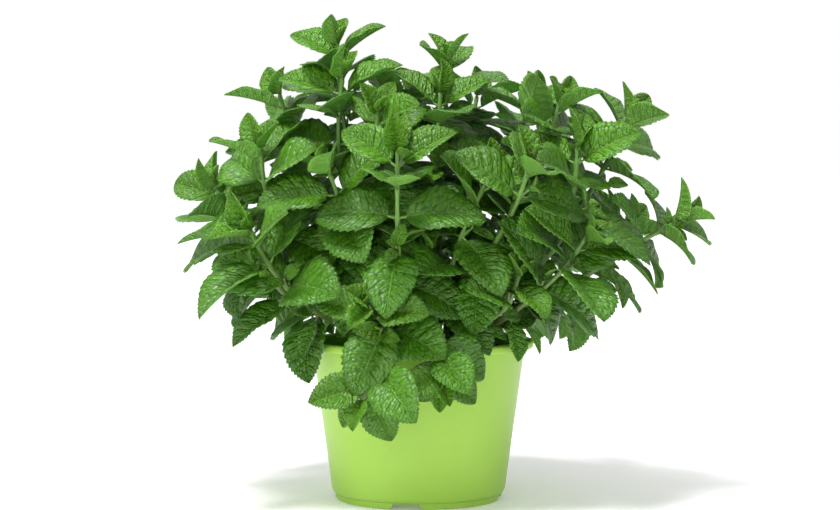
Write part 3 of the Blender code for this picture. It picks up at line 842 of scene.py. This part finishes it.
def pot_finish(settings):
    """Satin plastic with a fine mould texture, faint flow marks and rubbed edges."""
    nodes = Finish("moulded plastic")
    height = nodes.split(nodes.place)[2]
    tone = nodes.tone(0.05, 0.8)
    flow = nodes.noise(nodes.stretched(nodes.place, (1.0, 1.0, 0.06)), 220.0, 2.0)
    body = nodes.blend(tone, toned(settings.colour, 0.90), toned(settings.colour, 1.04))
    scratched = nodes.ramp(nodes.noise(nodes.place, 900.0, 4.0, 0.7), 0.55, 0.75)
    near_lip = nodes.ramp(height, POT_HEIGHT - 0.0014, POT_HEIGHT - 0.0002)
    near_foot = nodes.ramp(height, 0.0, 0.0016, 1.0, 0.0)
    worn = nodes.times(nodes.math("MAXIMUM", near_lip, near_foot), scratched)
    rough = nodes.times_plus(tone, 0.14, settings.roughness - 0.07)
    relief = nodes.times_plus(flow, 0.5, nodes.noise(nodes.place, 2600.0, 2.0))
    return nodes.surface(
        Base_Color=nodes.blend(nodes.times(worn, 0.6), body, settings.wear_colour),
        Roughness=nodes.times_plus(worn, 0.2, rough),
        Normal=nodes.bump(relief, 0.00002, 0.5),
        Specular_IOR_Level=0.35,
        **soft(0.12, (0.6, 1.0, 0.3), 0.004),
    )


def soil_finish(settings):
    """Damp peat: dark hollows, drier crumbs and pale flecks of fibre."""
    nodes = Finish("potting soil")
    tone = nodes.tone(0.006, 2.2)
    grains = nodes.add("TexVoronoi", {"Vector": nodes.place, "Scale": 900.0}).outputs
    body = nodes.blend(tone, settings.dark, settings.light)
    fleck = nodes.ramp(nodes.split(grains["Color"])[0], 0.93, 0.97)
    lumps = nodes.times_plus(grains["Distance"], 0.5, nodes.noise(nodes.place, 500.0, 5.0, 0.7))
    return nodes.surface(
        Base_Color=nodes.blend(nodes.times(fleck, 0.5), body, toned(settings.light, 4)),
        Roughness=nodes.times_plus(tone, 0.2, 0.75),
        Normal=nodes.bump(lumps, 0.0009),
    )


def stem_finish(settings):
    """Green stems, browner near the soil, with long ribs."""
    nodes = Finish("mint stem")
    tone = nodes.tone(0.012, 1.6)
    high = nodes.ramp(nodes.times_plus(tone, 0.03, nodes.split(nodes.place)[2]), 0.100, 0.175)
    body = nodes.blend(high, settings.old, settings.young)
    ribs = nodes.noise(nodes.stretched(nodes.place, (1.0, 1.0, 0.15)), 1600.0, 3.0)
    return nodes.surface(
        Base_Color=nodes.blend(nodes.times(tone, 0.45), body, toned(settings.old, 0.4)),
        Roughness=nodes.times_plus(tone, 0.2, settings.roughness - 0.1),
        Normal=nodes.bump(ribs, 0.00012, 0.8),
        **soft(0.2, (0.5, 1.0, 0.2), 0.0015),
    )


def leaf_finish(name):
    """The start of a leaf's finish: its nodes, its shade, its veins and its changes of tone."""
    nodes = Finish(name)
    shade = nodes.attribute("leaf_shade")
    blade_map = nodes.add("UVMap", uv_map="blade").outputs[0]
    veins = nodes.group("leaf_veins", {"Map": blade_map, "Shift": shade})
    return nodes, shade, veins, nodes.tone(0.010, 1.5)


def blade_finish(settings):
    """Upper face of a leaf: green by age, paler veins, and puckers between them that glint, with painted
    shade in the grooves between the puckers.
    """
    nodes, shade, veins, tone = leaf_finish("leaf upper face")
    grown = nodes.blend(shade, toned(settings.old, 0.72), toned(settings.old, 1.35))
    body = nodes.blend(nodes.attribute("leaf_age"), grown, settings.young)
    patchy = nodes.blend(nodes.times(tone, 0.35), body, toned(settings.old, 0.5))
    # Painted shade: the grooves round each pucker are darkened in the colour, as if in shadow.
    painted_groove_shade = nodes.times_plus(veins["Cell"], -0.7, 0.7)
    puckers_with_painted_shade = nodes.blend(painted_groove_shade, patchy, toned(settings.old, 0.4))
    rough = nodes.times_plus(tone, 0.16, settings.roughness - 0.08)
    relief = nodes.times_plus(veins["Pucker"], 0.8, veins["Cell"])
    relief = nodes.times_plus(nodes.noise(nodes.place, 1500.0, 2.0), 0.25, relief)
    return nodes.surface(
        Base_Color=nodes.blend(nodes.times(veins["Vein"], 0.40), puckers_with_painted_shade, settings.vein),
        Roughness=nodes.times_plus(veins["Vein"], 0.1, rough),
        Normal=nodes.bump(relief, 0.00055),
        **soft(0.25, (0.5, 1.0, 0.12), 0.0012),
    )


def underside_finish(settings):
    """Lower face and edge of a leaf: paler, duller, with raised veins."""
    nodes, _, veins, tone = leaf_finish("leaf lower face")
    youth = nodes.times(nodes.attribute("leaf_age"), 0.65)
    body = nodes.blend(youth, settings.under, settings.young)
    patchy = nodes.blend(nodes.times(tone, 0.5), body, toned(settings.under, 0.6))
    net = nodes.math("MAXIMUM", veins["Vein"], nodes.times_plus(veins["Cell"], -0.5, 0.5))
    raised = nodes.times_plus(veins["Cell"], -0.5, nodes.times(veins["Vein"], 0.9))
    return nodes.surface(
        Base_Color=nodes.blend(nodes.times(net, 0.7), patchy, toned(settings.under, 1.7)),
        Roughness=nodes.times_plus(tone, 0.15, 0.5),
        Normal=nodes.bump(raised, 0.0006),
        **soft(0.25, (0.5, 1.0, 0.12), 0.0012),
    )


# Pot
def wedge(angle):
    """A tool that cuts one notch of the foot ring, wider at the floor than at its top."""
    tool = added(bpy.ops.mesh.primitive_cube_add, "notch_tool", size=1)
    for vert in tool.data.vertices:
        top = vert.co.z > 0
        vert.co.x = FOOT_RADIUS + math.copysign(CUTTER_REACH, vert.co.x)
        vert.co.y *= NOTCH_TOP_WIDTH if top else NOTCH_BOTTOM_WIDTH
        vert.co.z = NOTCH_HEIGHT if top else -NOTCH_HEIGHT
    tool.data.transform(Matrix.Rotation(angle, 4, "Z"))
    return tool


def drain(angle):
    """A tool that drills one drain hole."""
    place = (DRAIN_CIRCLE * math.cos(angle), DRAIN_CIRCLE * math.sin(angle), FOOT_HEIGHT)
    size = {"vertices": DRAIN_SIDES, "radius": DRAIN_RADIUS, "depth": CUTTER_REACH}
    return added(bpy.ops.mesh.primitive_cylinder_add, "drain_tool", location=place, **size)


def near(radius, height, *offsets):
    """Profile points near a corner, from offsets out and up in tenths of a millimetre."""
    return [(radius + out * MM / 10, height + up * MM / 10) for out, up in offsets]


def build_pot(settings):
    """The pot as one moulding: rounded lip, tapered wall, foot ring with notches, drain holes."""
    lip = POT_HEIGHT - LIP_DEPTH
    under = POT_HEIGHT - WALL
    wall = body_radius(POT_HEIGHT)
    chamfer = FOOT_HEIGHT + CHAMFER_HEIGHT
    floor = FOOT_HEIGHT + WALL
    outer = [
        (wall, POT_HEIGHT),
        *near(RIM_RADIUS, POT_HEIGHT, (-16, 0), (-8, -2), (-2, -8), (0, -16)),
        *near(RIM_RADIUS, lip, (-1, 10), (-3, 4), (-8, 1), (-12, 0), (-16, 3)),
        *near(RIM_RADIUS - WALL, under, (0, -4), (-4, 0)),
        *near(wall, under, (4, 0), (0, -4)),
        *near(body_radius(chamfer + MM), chamfer, (0, 10)),
        *near(body_radius(chamfer), chamfer, (-1.2, 0), (-4, -8)),
        *near(BODY_BOTTOM_RADIUS - CHAMFER_WIDTH, FOOT_HEIGHT, (3, 4), (0, 1), (-4, 0)),
        *near(FOOT_RADIUS, FOOT_HEIGHT, (4, 0), (1, -2), (0, -8)),
        *near(FOOT_RADIUS, 0, (-2, 8), (-8, 1), (-12, 0)),
        (FOOT_RADIUS - FOOT_WIDTH, 0),
        (FOOT_RADIUS - FOOT_WIDTH, FOOT_HEIGHT),
        (CENTRE_PAD_RADIUS, FOOT_HEIGHT),
        *near(CENTRE_PAD_RADIUS, 0, (0, 4), (-4, 0)),
        (0, 0),
    ]
    inner = [
        outer[0],
        *near(wall - WALL, POT_HEIGHT, (6, -2), (0, -8)),
        *near(body_radius(floor) - WALL, floor, (0, 10), (-10, 0)),
        (CENTRE_PAD_RADIUS - WALL, floor),
        (CENTRE_PAD_RADIUS - WALL, WALL),
        (0, WALL),
    ]
    pot = turned_shell("pot_body", outer, inner, POT_SIDES)
    tools = [wedge(NOTCH_FIRST_ANGLE + i * math.tau / NOTCH_COUNT) for i in range(NOTCH_COUNT)]
    tools += [drain(NOTCH_FIRST_ANGLE + (i + 0.5) * math.tau / DRAIN_COUNT) for i in range(DRAIN_COUNT)]
    for tool in tools:
        applied(pot, "BOOLEAN", operation="DIFFERENCE", object=tool, solver="EXACT")
    remove(*tools)
    only(pot)
    bpy.ops.object.shade_smooth_by_angle(angle=SMOOTH_ANGLE)
    pot.data.materials.clear()
    pot.data.materials.append(pot_finish(settings))
    settle(pot, "pot_plastic", "pot")


# Soil
def build_soil(settings):
    """A lumpy bed that fills the pot, with loose crumbs and bits of fibre on it."""
    floor = FOOT_HEIGHT + WALL + GAP
    step = SOIL_EDGE / SOIL_RINGS
    surface = [(step * ring, soil_height(step * ring, 0)) for ring in range(SOIL_RINGS, -1, -1)]
    below = [surface[0], (body_radius(floor) - WALL - GAP, floor), (0, floor)]
    bed = turned_shell("soil_bed", surface, below, SOIL_SIDES)
    for vert in bed.data.vertices:
        if vert.co.z > SOIL_EDGE_HEIGHT - GAP and vert.co.xy.length < SOIL_EDGE - GAP:
            broad = noise.fractal(vert.co * BROAD_LUMPS, 1.0, 2.0, 3)
            fine = noise.fractal(vert.co * FINE_LUMPS + Vector((5, 5, 5)), 0.8, 2.0, 4)
            vert.co.z += settings.relief * (0.45 * broad + 0.40 * fine - 0.3)
    only(bed)
    bpy.ops.object.shade_smooth()
    peat = soil_finish(settings)
    bed.data.materials.append(peat)
    settle(bed, "potting_soil", "potting_soil")
    lump = added(bpy.ops.mesh.primitive_ico_sphere_add, "lump", peat, subdivisions=2, radius=1)
    bpy.ops.object.shade_smooth()
    ball = coordinates(lump.data)
    rng = np.random.default_rng(7)
    crumbs = []
    for index in range(settings.crumbs):
        away = (SOIL_EDGE - settings.crumb) * math.sqrt(rng.random())
        angle = rng.random() * math.tau
        x, y = away * math.cos(angle), away * math.sin(angle)
        size = settings.crumb * (0.25 + 0.75 * rng.random() ** 3)
        fibre = index % CRUMBS_PER_FIBRE == 0
        stretch = np.array(FIBRE_SHAPE if fibre else CRUMB_SHAPE) * size
        rough = np.array([0.35 * noise.noise(Vector(p) * 1.7 + Vector((index, 0, 0))) for p in ball])
        spin = Matrix.Rotation(rng.random() * math.tau, 3, "Z")
        tilt = Matrix.Rotation((rng.random() - 0.5) * (0.5 if fibre else 3), 3, "Y")
        places = (ball * (1 + rough[:, None]) * stretch) @ np.array(spin @ tilt).T
        rest = soil_height(x, y) - settings.relief * 0.3 + 0.35 * stretch[2]
        crumbs.append(bent_copy(lump, places + np.array((x, y, rest))))
    remove(lump)
    settle(joined("soil_crumbs", crumbs), "potting_soil", "potting_soil")


# Stems
def stem_line(path, count):
    """Evenly spaced points of the smooth centre line, and how far each lies below the tip."""
    curve = np.array([tuple(point) for point in catmull_rom(path.points)])
    lengths = np.concatenate(([0], np.cumsum(np.linalg.norm(np.diff(curve, axis=0), axis=1))))
    wanted = np.linspace(0, lengths[-1], count)
    points = np.stack([np.interp(wanted, lengths, curve[:, axis]) for axis in range(3)], axis=1)
    return points, lengths[-1] - wanted


def bend_rod(blank, points, radii, turn=0.0, square=0.0):
    """Lays a rod blank along points, with a radius at each and rounded corners if square."""
    flat = coordinates(blank.data)
    ring = np.rint(flat[:, 2] * (len(points) - 1)).astype(int)
    along = np.gradient(points, axis=0)
    along /= np.linalg.norm(along, axis=1, keepdims=True)
    across = np.array((1.0, 0, 0)) - along * along[:, :1]
    across /= np.linalg.norm(across, axis=1, keepdims=True)
    up = np.cross(along, across)
    angle = np.arctan2(flat[:, 1], flat[:, 0])
    wide = radii[ring] * (1 - square * np.cos(4 * angle))
    aside = (np.cos(angle + turn) * wide)[:, None] * across[ring]
    return points[ring] + aside + (np.sin(angle + turn) * wide)[:, None] * up[ring]


def build_stems(scene):
    blank = rod_blank("stem_rod", STEM_SIDES, STEM_RINGS, leaf_finishes(scene)[2])
    for shoot, path in zip(SHOOTS, grow()[0]):
        points, below = stem_line(path, STEM_RINGS + 1)
        radii = STEM_FULLNESS * stem_half_width(1 - below / below[0])
        for rule in PAIRS:
            gap = (below - rule.below_tip * shoot.leaf * MM) / NODE_LENGTH
            radii *= 1 + NODE_SWELLING * np.exp(-gap * gap)
        places = bend_rod(blank, points, radii, math.radians(shoot.turn), STEM_SQUARENESS)
        settle(joined(f"{shoot.name}_stem", [bent_copy(blank, places)]), "mint_shoot", shoot.name)
    remove(blank)


# Leaves
def leaf_finishes(scene):
    """The three finishes of every leaf piece: upper face, lower face and stalk."""
    makers = {
        "leaf upper face": (blade_finish, scene.mint_leaf),
        "leaf lower face": (underside_finish, scene.mint_leaf),
        "mint stem": (stem_finish, scene.mint_stem),
    }
    made = bpy.data.materials
    return [made.get(name) or make(settings) for name, (make, settings) in makers.items()]


class BladeBlank:
    """A flat square blade with two faces, mapped for its veins, and where its corners lie on it."""

    def __init__(self, name, rows, columns, finishes):
        across = 2 * (len(columns) - 1)
        size = {"x_subdivisions": across, "y_subdivisions": rows, "size": 2}
        self.object = added(bpy.ops.mesh.primitive_grid_add, name, *finishes, **size)
        applied(self.object, "SOLIDIFY", thickness=1, offset=-1, material_offset=1, material_offset_rim=1)
        bpy.ops.object.shade_smooth()
        layer = self.object.data.uv_layers[0]
        layer.name = "blade"
        for loop in layer.data:
            loop.uv.y *= rows / ROWS_PER_VEIN / VEIN_UNIT
        flat = coordinates(self.object.data)
        self.faces = corners_of_faces(self.object.data)
        self.rows, self.corners = rows, (rows + 1, across + 1)
        self.row = np.rint((flat[:, 1] + 1) / 2 * rows).astype(int)
        self.column = np.rint(flat[:, 0] * across / 2).astype(int)
        self.half = np.array(columns)[np.abs(self.column)]
        self.side = np.sign(self.column)
        self.under = flat[:, 2] < -0.5


def bend_blade(blank, blade, settings):
    """Shapes a blank into one leaf: outline, teeth, quilting, fold, wave, twist and droop."""
    rng = np.random.default_rng(blade.seed)
    half, side, length = blank.half, blank.side, blade.length
    edge = half > 0.999
    start = blank.row / blank.rows
    place = start + VEIN_SLANT * np.sin(np.pi * start) * half
    toothed = np.clip((place - TEETH_START) / TEETH_RISE, 0, 1) * edge
    toothed *= np.clip((1 - place) / TEETH_FALL, 0, 1)
    apex = blank.row % 2 == 1
    place = np.clip(place + toothed * apex * 0.5 / blank.rows, 0, 1)
    rise, fall = OUTLINE
    widest = rise / (rise + fall)
    outline = place**rise * (1 - place) ** fall / (widest**rise * (1 - widest) ** fall)
    wide = blade.width * length * outline + BLADE_NECK * (1 - place) + BLADE_POINT
    across = side * (half * wide + np.where(apex, 1.0, -TOOTH_GAP) * toothed * settings.tooth * length)
    phase = (blank.row + np.where(side > 0, 2, 0)) % ROWS_PER_VEIN / ROWS_PER_VEIN
    inside = np.sin(np.pi * np.clip(half, 0, 1)) ** 0.6
    swell = np.sin(np.pi * np.clip(place, 0.02, 0.98)) ** 0.5
    quilt = (np.sin(np.pi * phase) ** 0.8 - 0.5) * inside * swell * settings.quilt
    bumps = (rng.normal(size=blank.corners) * BLADE_BUMP)[blank.row, blank.column] * inside
    which = (side > 0).astype(int)
    waves = (rng.uniform(0.5, 1.3, 2) * BLADE_WAVE)[which]
    beats = rng.uniform(1.3, 2.4, 2)[which]
    starts = rng.uniform(0, math.tau, 2)[which]
    wave = waves * np.sin(math.tau * beats * place + starts) * half**2 * swell
    height = wide * ((blade.fold + BLADE_CUP) * half - BLADE_CUP * half**2)
    height += length * (quilt + bumps + wave)
    twist = rng.uniform(-BLADE_TWIST, BLADE_TWIST) * place
    turned = across * np.cos(twist) - height * np.sin(twist)
    height = across * np.sin(twist) + height * np.cos(twist)
    turned += length * rng.uniform(-BLADE_BEND, BLADE_BEND) * place**2
    keel = np.where(half < 0.01, KEEL_BASE * (1 - place) + KEEL_TIP, 0.0)
    veins_below = np.where(phase == 0, VEIN_RIDGE, 0.0) * inside
    thick = settings.thickness * np.where(edge, EDGE_THINNESS, 1.0) + keel + veins_below
    stalk_share = blade.stalk / length
    points, face = along_blade(blade, stalk_share + (1 - stalk_share) * place)
    sideways = np.cross(np.array(blade.direction), np.array(blade.normal))
    return points + turned[:, None] * sideways + (height - blank.under * thick)[:, None] * face


def bend_stalk(blank, blade):
    """The leaf's stalk, from inside the stem to the underside of the blade."""
    thin = np.linspace(0, 1, STALK_RINGS + 1)
    reach = blade.stalk / blade.length + STALK_UNDER_BLADE
    points, face = along_blade(blade, np.linspace(0, reach, STALK_RINGS + 1))
    size = max(min(1.0, blade.length / STALK_FULL_LEAF), STALK_LEAST)
    radii = (PETIOLE_HALF_WIDTH * STALK_FULLNESS * (1 - thin) + STALK_TIP_RADIUS * thin) * size
    return bend_rod(blank, points - face * (STALK_SINK * thin)[:, None], radii)


def grown_blades(index, placed):
    """The opened leaves of a shoot, as placed with the frame."""
    found = []
    for pair, side, leaf in placed:
        rng = np.random.default_rng((index, pair, side))
        rule = PAIRS[pair]
        stalk = min(STALK_LENGTH, 0.12 * leaf.length)
        fold = LEAF_FOLD * rule.fold * rng.uniform(0.8, 1.2)
        wide = BLADE_HALF_WIDTH * rule.width * rng.uniform(0.94, 1.05)
        way = (leaf.base, leaf.direction, leaf.normal, leaf.length, leaf.droop, stalk)
        found.append(Blade(*way, wide, fold, rule.youth, rng.random(), (index, pair, side, 1)))
    return found


def small_pair(base, along, azimuth, length, look, seed):
    """Two opposite small leaves at a point of a stem."""
    opening, size, fold, youth = look
    pair = []
    for side in range(2):
        rng = np.random.default_rng((*seed, side))
        direction = branching(along, azimuth + math.pi * side, math.radians(opening))
        inward = square_to(direction, along)
        face = (inward * SMALL_CUPPING + facing(base, direction, along, SMALL_FACE_TIP)).normalized()
        reach = size * length * rng.uniform(0.85, 1.12)
        way = (base + direction * ROOTED, direction, square_to(direction, face), reach)
        shape = (rng.uniform(0.15, 0.45), 0.06 * reach, BLADE_HALF_WIDTH * 0.85, fold)
        pair.append(Blade(*way, *shape, youth, rng.random(), (*seed, side, 2)))
    return pair


def tip_blades(index, shoot, path):
    """The closed pairs at the very tip of a shoot."""
    base, along = path.below_tip(0.0)
    found = []
    for step, look in enumerate(TIP_PAIRS):
        azimuth = math.radians(shoot.turn) + math.radians(PAIR_QUARTER_TURN * (step + 1))
        lifted = base + along * TIP_STEP * step
        found += small_pair(lifted, along, azimuth, shoot.leaf * MM, look, (index, 90 + step))
    return found


def side_blades(index, shoot, path, placed, fits):
    """Small leafy side shoots in the angles between leaves and stem, where there is room for them."""
    blades, lines = [], []
    for pair, side, leaf in placed:
        if pair < 1:
            continue
        rng = np.random.default_rng((index, pair, side, 5))
        _, along = path.below_tip(PAIRS[pair].below_tip * shoot.leaf * MM)
        for trial in range(SIDE_TRIES):
            rise = rng.uniform(0.5, 1.1)
            growing = (along * rise + leaf.direction * rng.uniform(0.5, 1.0)).normalized()
            reach = rng.uniform(*SIDE_REACH) + rng.uniform(*SIDE_REACH_GROWTH) * (pair - 1)
            top = leaf.base + growing * reach
            length = rng.uniform(*SIDE_LEAF) + rng.uniform(*SIDE_LEAF_GROWTH) * (pair - 1)
            length *= 1 - 0.5 * trial / SIDE_TRIES
            azimuth = rng.random() * math.tau
            seed = (index, pair, side, 6, trial)
            tip = top + growing * 0.15 * length
            outer = small_pair(top, growing, azimuth, length, SIDE_PAIRS[0], (*seed, 0))
            inner = small_pair(tip, growing, azimuth + math.pi / 2, length, SIDE_PAIRS[1], (*seed, 1))
            if all(fits(blade) for blade in outer):
                blades += outer + [blade for blade in inner if fits(blade)]
                lines.append((leaf.base, tip))
                break
    return blades, lines


def low_blades(index, shoot, path, fits):
    """Small leaves on the foot of a stem, below its grown pairs, where there is room for them."""
    lowest = PAIRS[shoot.pairs - 1].below_tip * (shoot.leaf * MM)
    blades, lines = [], []
    for step in range(1, LOW_PAIRS + 1):
        base, along = path.below_tip(lowest + LOW_PAIR_SPACING * step)
        if base.z < POT_HEIGHT + LOW_LEAF_HEIGHT:
            break
        azimuth = math.radians(shoot.turn + PAIR_QUARTER_TURN * (shoot.pairs + step))
        taken = set()
        for trial in range(LOW_TRIES):
            seed = (index, step, 7, trial)
            rng = np.random.default_rng(seed)
            look = (rng.uniform(65, 95), 1, LOW_FOLD, LOW_YOUTH)
            length = rng.uniform(*LOW_LEAF) * (1 - 0.6 * trial / LOW_TRIES)
            turned = azimuth + rng.uniform(-0.5, 0.5)
            for side, blade in enumerate(small_pair(base, along, turned, length, look, seed)):
                blade = blade._replace(base=blade.base + blade.direction * LOW_LEAF_STALK)
                if side not in taken and fits(blade):
                    taken.add(side)
                    blades.append(blade)
                    lines.append((base, blade.base + blade.direction * MM))
    return blades, lines


def within(places):
    """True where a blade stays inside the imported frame's box and clear of the pot."""
    low, high = CAD_BOX
    if (places.min(axis=0) < np.array(low)).any() or (places.max(axis=0) > np.array(high)).any():
        return False
    around = np.hypot(places[:, 0], places[:, 1]) < RIM_RADIUS + POT_CLEARANCE
    return not (around & (places[:, 2] < POT_HEIGHT + POT_CLEARANCE)).any()


def own_leaf_nodes(shoot):
    return f"{shoot.name}_leaf_a", f"{shoot.name}_leaf_b"


def check_frame_match(index, shoot, placed):
    """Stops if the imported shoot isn't where this script's growth puts it."""
    for pair, side, leaf in placed:
        apart = index < OWN_LEAF_SHOOTS and pair == OWN_LEAF_PAIR
        node = own_leaf_nodes(shoot)[side] if apart else shoot.name
        low, high = np.array(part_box(node))
        tip = along_blade(leaf, [1.0])[0][0]
        if (tip < low - FRAME_SLACK).any() or (tip > high + FRAME_SLACK).any():
            raise RuntimeError(f"{shoot.name}: leaf {pair}{'ab'[side]} isn't where the packed frame has it")


def build_leaves(scene):
    finishes = leaf_finishes(scene)
    large = BladeBlank("large_blade", LARGE_ROWS, LARGE_COLUMNS, finishes)
    small = BladeBlank("small_blade", SMALL_ROWS, SMALL_COLUMNS, finishes)
    stalk = rod_blank("stalk", STALK_SIDES, STALK_RINGS, *finishes)
    shells = []

    def shape(blade):
        """The blank a leaf is made of and the places of its corners."""
        blank = large if blade.length > SMALL_LEAF else small
        return blank, bend_blade(blank, blade, scene.mint_leaf)

    def occupy(places, faces, only_if_free=False):
        """Adds a surface to those that later leaves keep clear of."""
        shell = Shell(BVHTree.FromPolygons(places.tolist(), faces), places)
        if only_if_free and shell.meets(shells):
            return False
        shells.append(shell)
        return True

    def fits(blade):
        """Keeps the place of a leaf if it is free."""
        blank, places = shape(blade)
        return within(places) and occupy(places, blank.faces, only_if_free=True)

    shoots = []
    for index, (shoot, path, placed) in enumerate(zip(SHOOTS, *grow())):
        check_frame_match(index, shoot, placed)
        blades = grown_blades(index, placed) + tip_blades(index, shoot, path)
        shoots.append((index, shoot, path, placed, blades))
        for blade in blades:
            blank, places = shape(blade)
            occupy(places, blank.faces)
        stem = bpy.data.objects[f"{shoot.name}_stem"].data
        occupy(coordinates(stem), corners_of_faces(stem))
    for index, shoot, path, placed, blades in shoots:
        side, side_lines = side_blades(index, shoot, path, placed, fits)
        low, low_lines = low_blades(index, shoot, path, fits)
        pieces = []
        for blade in blades + side + low:
            blank, places = shape(blade)
            pieces.append(bent_copy(blank.object, places, leaf_age=blade.youth, leaf_shade=blade.shade))
            if blank is large:
                pieces.append(bent_copy(stalk, bend_stalk(stalk, blade)))
        for foot, top in side_lines + low_lines:
            points = np.linspace(np.array(foot), np.array(top), STALK_RINGS + 1)
            radii = np.linspace(*SIDE_STEM_RADII, STALK_RINGS + 1)
            pieces.append(bent_copy(stalk, bend_rod(stalk, points, radii)))
        nodes = [shoot.name] + [name for name in own_leaf_nodes(shoot) if name in frame["nodes"]]
        settle(joined(f"{shoot.name}_foliage", pieces), "mint_leaf", *nodes)
    remove(large.object, small.object, stalk)


# Stage
def aimed(obj, place, target):
    """Puts a light or camera in its place and turns it to a target."""
    obj.location = place
    obj.rotation_euler = (target - Vector(place)).to_track_quat("-Z", "Y").to_euler()


def build_floor(settings):
    nodes = Finish("pale floor")
    colour = nodes.blend(nodes.noise(nodes.place, 1.5), settings.floor, toned(settings.floor, 1.02))
    # Painted light: the floor glows, faintly round the pot, where it lifts the shadow, and more strongly
    # far off, where it whitens into the backdrop.
    away = nodes.add("VectorMath", {0: nodes.place}, operation="LENGTH").outputs["Value"]
    glow = nodes.ramp(away, 0.15, 2.5, 0.14, settings.sweep)
    white = (1, 1, 1, 1)
    pale = nodes.surface(Base_Color=colour, Roughness=0.7, Emission_Strength=glow, Emission_Color=white)
    size = {"vertices": FLOOR_SIDES, "radius": FLOOR_RADIUS, "fill_type": "NGON"}
    floor = added(bpy.ops.mesh.primitive_circle_add, "floor", pale, **size)


def build_world(settings):
    """A plain backdrop for the camera, and soft light from above, behind and all round."""
    world = bpy.data.worlds.new("studio")
    world.use_nodes = True
    air = Nodes(world.node_tree)
    seen = air.add("LightPath").outputs["Is Camera Ray"]
    way = air.split(air.add("TexCoord").outputs["Generated"])
    above = air.ramp(way[2], -0.2, 0.9, settings.horizon, settings.sky)
    dome = air.math("ADD", above, air.ramp(way[1], -0.1, 0.8, 0.0, settings.rear))
    background = world.node_tree.nodes["Background"].inputs
    air.put(background["Strength"], air.add("Mix", {0: seen, 2: dome, 3: settings.backdrop}).outputs[0])
    air.put(background["Color"], (1, 1, 1, 1))
    return world


def build_stage(scene):
    settings = scene.mint_stage
    build_floor(settings)
    scene.world = build_world(settings)
    aim = Vector((0, 0, settings.aim))
    for (name, place, size), power in zip(LIGHTS, (settings.key, settings.fill)):
        light = added(bpy.ops.object.light_add, name, type="AREA")
        light.data.size, light.data.energy = size, power
        aimed(light, place, aim)
    camera = added(bpy.ops.object.camera_add, "camera")
    rise = math.tan(settings.elevation) * settings.distance
    target = aim + Vector((settings.aside, 0, 0))
    aimed(camera, target + Vector((0, -settings.distance, rise)), target)
    camera.data.lens = settings.lens
    camera.data.sensor_width = 36
    camera.data.clip_end = 100
    scene.camera = camera
    scene.view_settings.view_transform = "Standard"


# Operators
class MINT_OT_pot(bpy.types.Operator):
    """Builds the pot"""

    bl_idname = "mint.pot"
    bl_label = "Pot"

    def execute(self, context):
        build_pot(context.scene.mint_pot)
        return {"FINISHED"}


class MINT_OT_soil(bpy.types.Operator):
    """Builds the soil and its loose crumbs"""

    bl_idname = "mint.soil"
    bl_label = "Soil"

    def execute(self, context):
        build_soil(context.scene.mint_soil)
        return {"FINISHED"}


class MINT_OT_stems(bpy.types.Operator):
    """Builds the square stems"""

    bl_idname = "mint.stems"
    bl_label = "Stems"

    def execute(self, context):
        build_stems(context.scene)
        return {"FINISHED"}


class MINT_OT_leaves(bpy.types.Operator):
    """Builds every shoot's leaves, growing tip and side shoots"""

    bl_idname = "mint.leaves"
    bl_label = "Leaves"

    def execute(self, context):
        build_leaves(context.scene)
        return {"FINISHED"}


class MINT_OT_stage(bpy.types.Operator):
    """Sets the floor, the lights and the camera"""

    bl_idname = "mint.stage"
    bl_label = "Stage"

    def execute(self, context):
        build_stage(context.scene)
        return {"FINISHED"}


OPERATORS = (MINT_OT_stage, MINT_OT_pot, MINT_OT_soil, MINT_OT_stems, MINT_OT_leaves)


class MINT_PT_panel(bpy.types.Panel):
    """Lists the pieces of the potted mint"""

    bl_idname = "MINT_PT_panel"
    bl_label = "Potted Mint"
    bl_space_type = "VIEW_3D"
    bl_region_type = "UI"
    bl_category = "Mint"

    def draw(self, context):
        for operator in OPERATORS:
            self.layout.operator(operator.bl_idname)


SETTINGS = {
    "mint_pot": PotSettings,
    "mint_soil": SoilSettings,
    "mint_stem": StemSettings,
    "mint_leaf": LeafSettings,
    "mint_stage": StageSettings,
}


def register():
    for cls in (*SETTINGS.values(), *OPERATORS, MINT_PT_panel):
        bpy.utils.register_class(cls)
    for name, cls in SETTINGS.items():
        setattr(bpy.types.Scene, name, bpy.props.PointerProperty(type=cls))


def unregister():
    for name in SETTINGS:
        delattr(bpy.types.Scene, name)
    for cls in (MINT_PT_panel, *reversed(OPERATORS), *reversed(SETTINGS.values())):
        bpy.utils.unregister_class(cls)


def main():
    register()
    for operator in OPERATORS:
        module, name = operator.bl_idname.split(".")
        getattr(getattr(bpy.ops, module), name)()


if __name__ == "__main__":
    main()
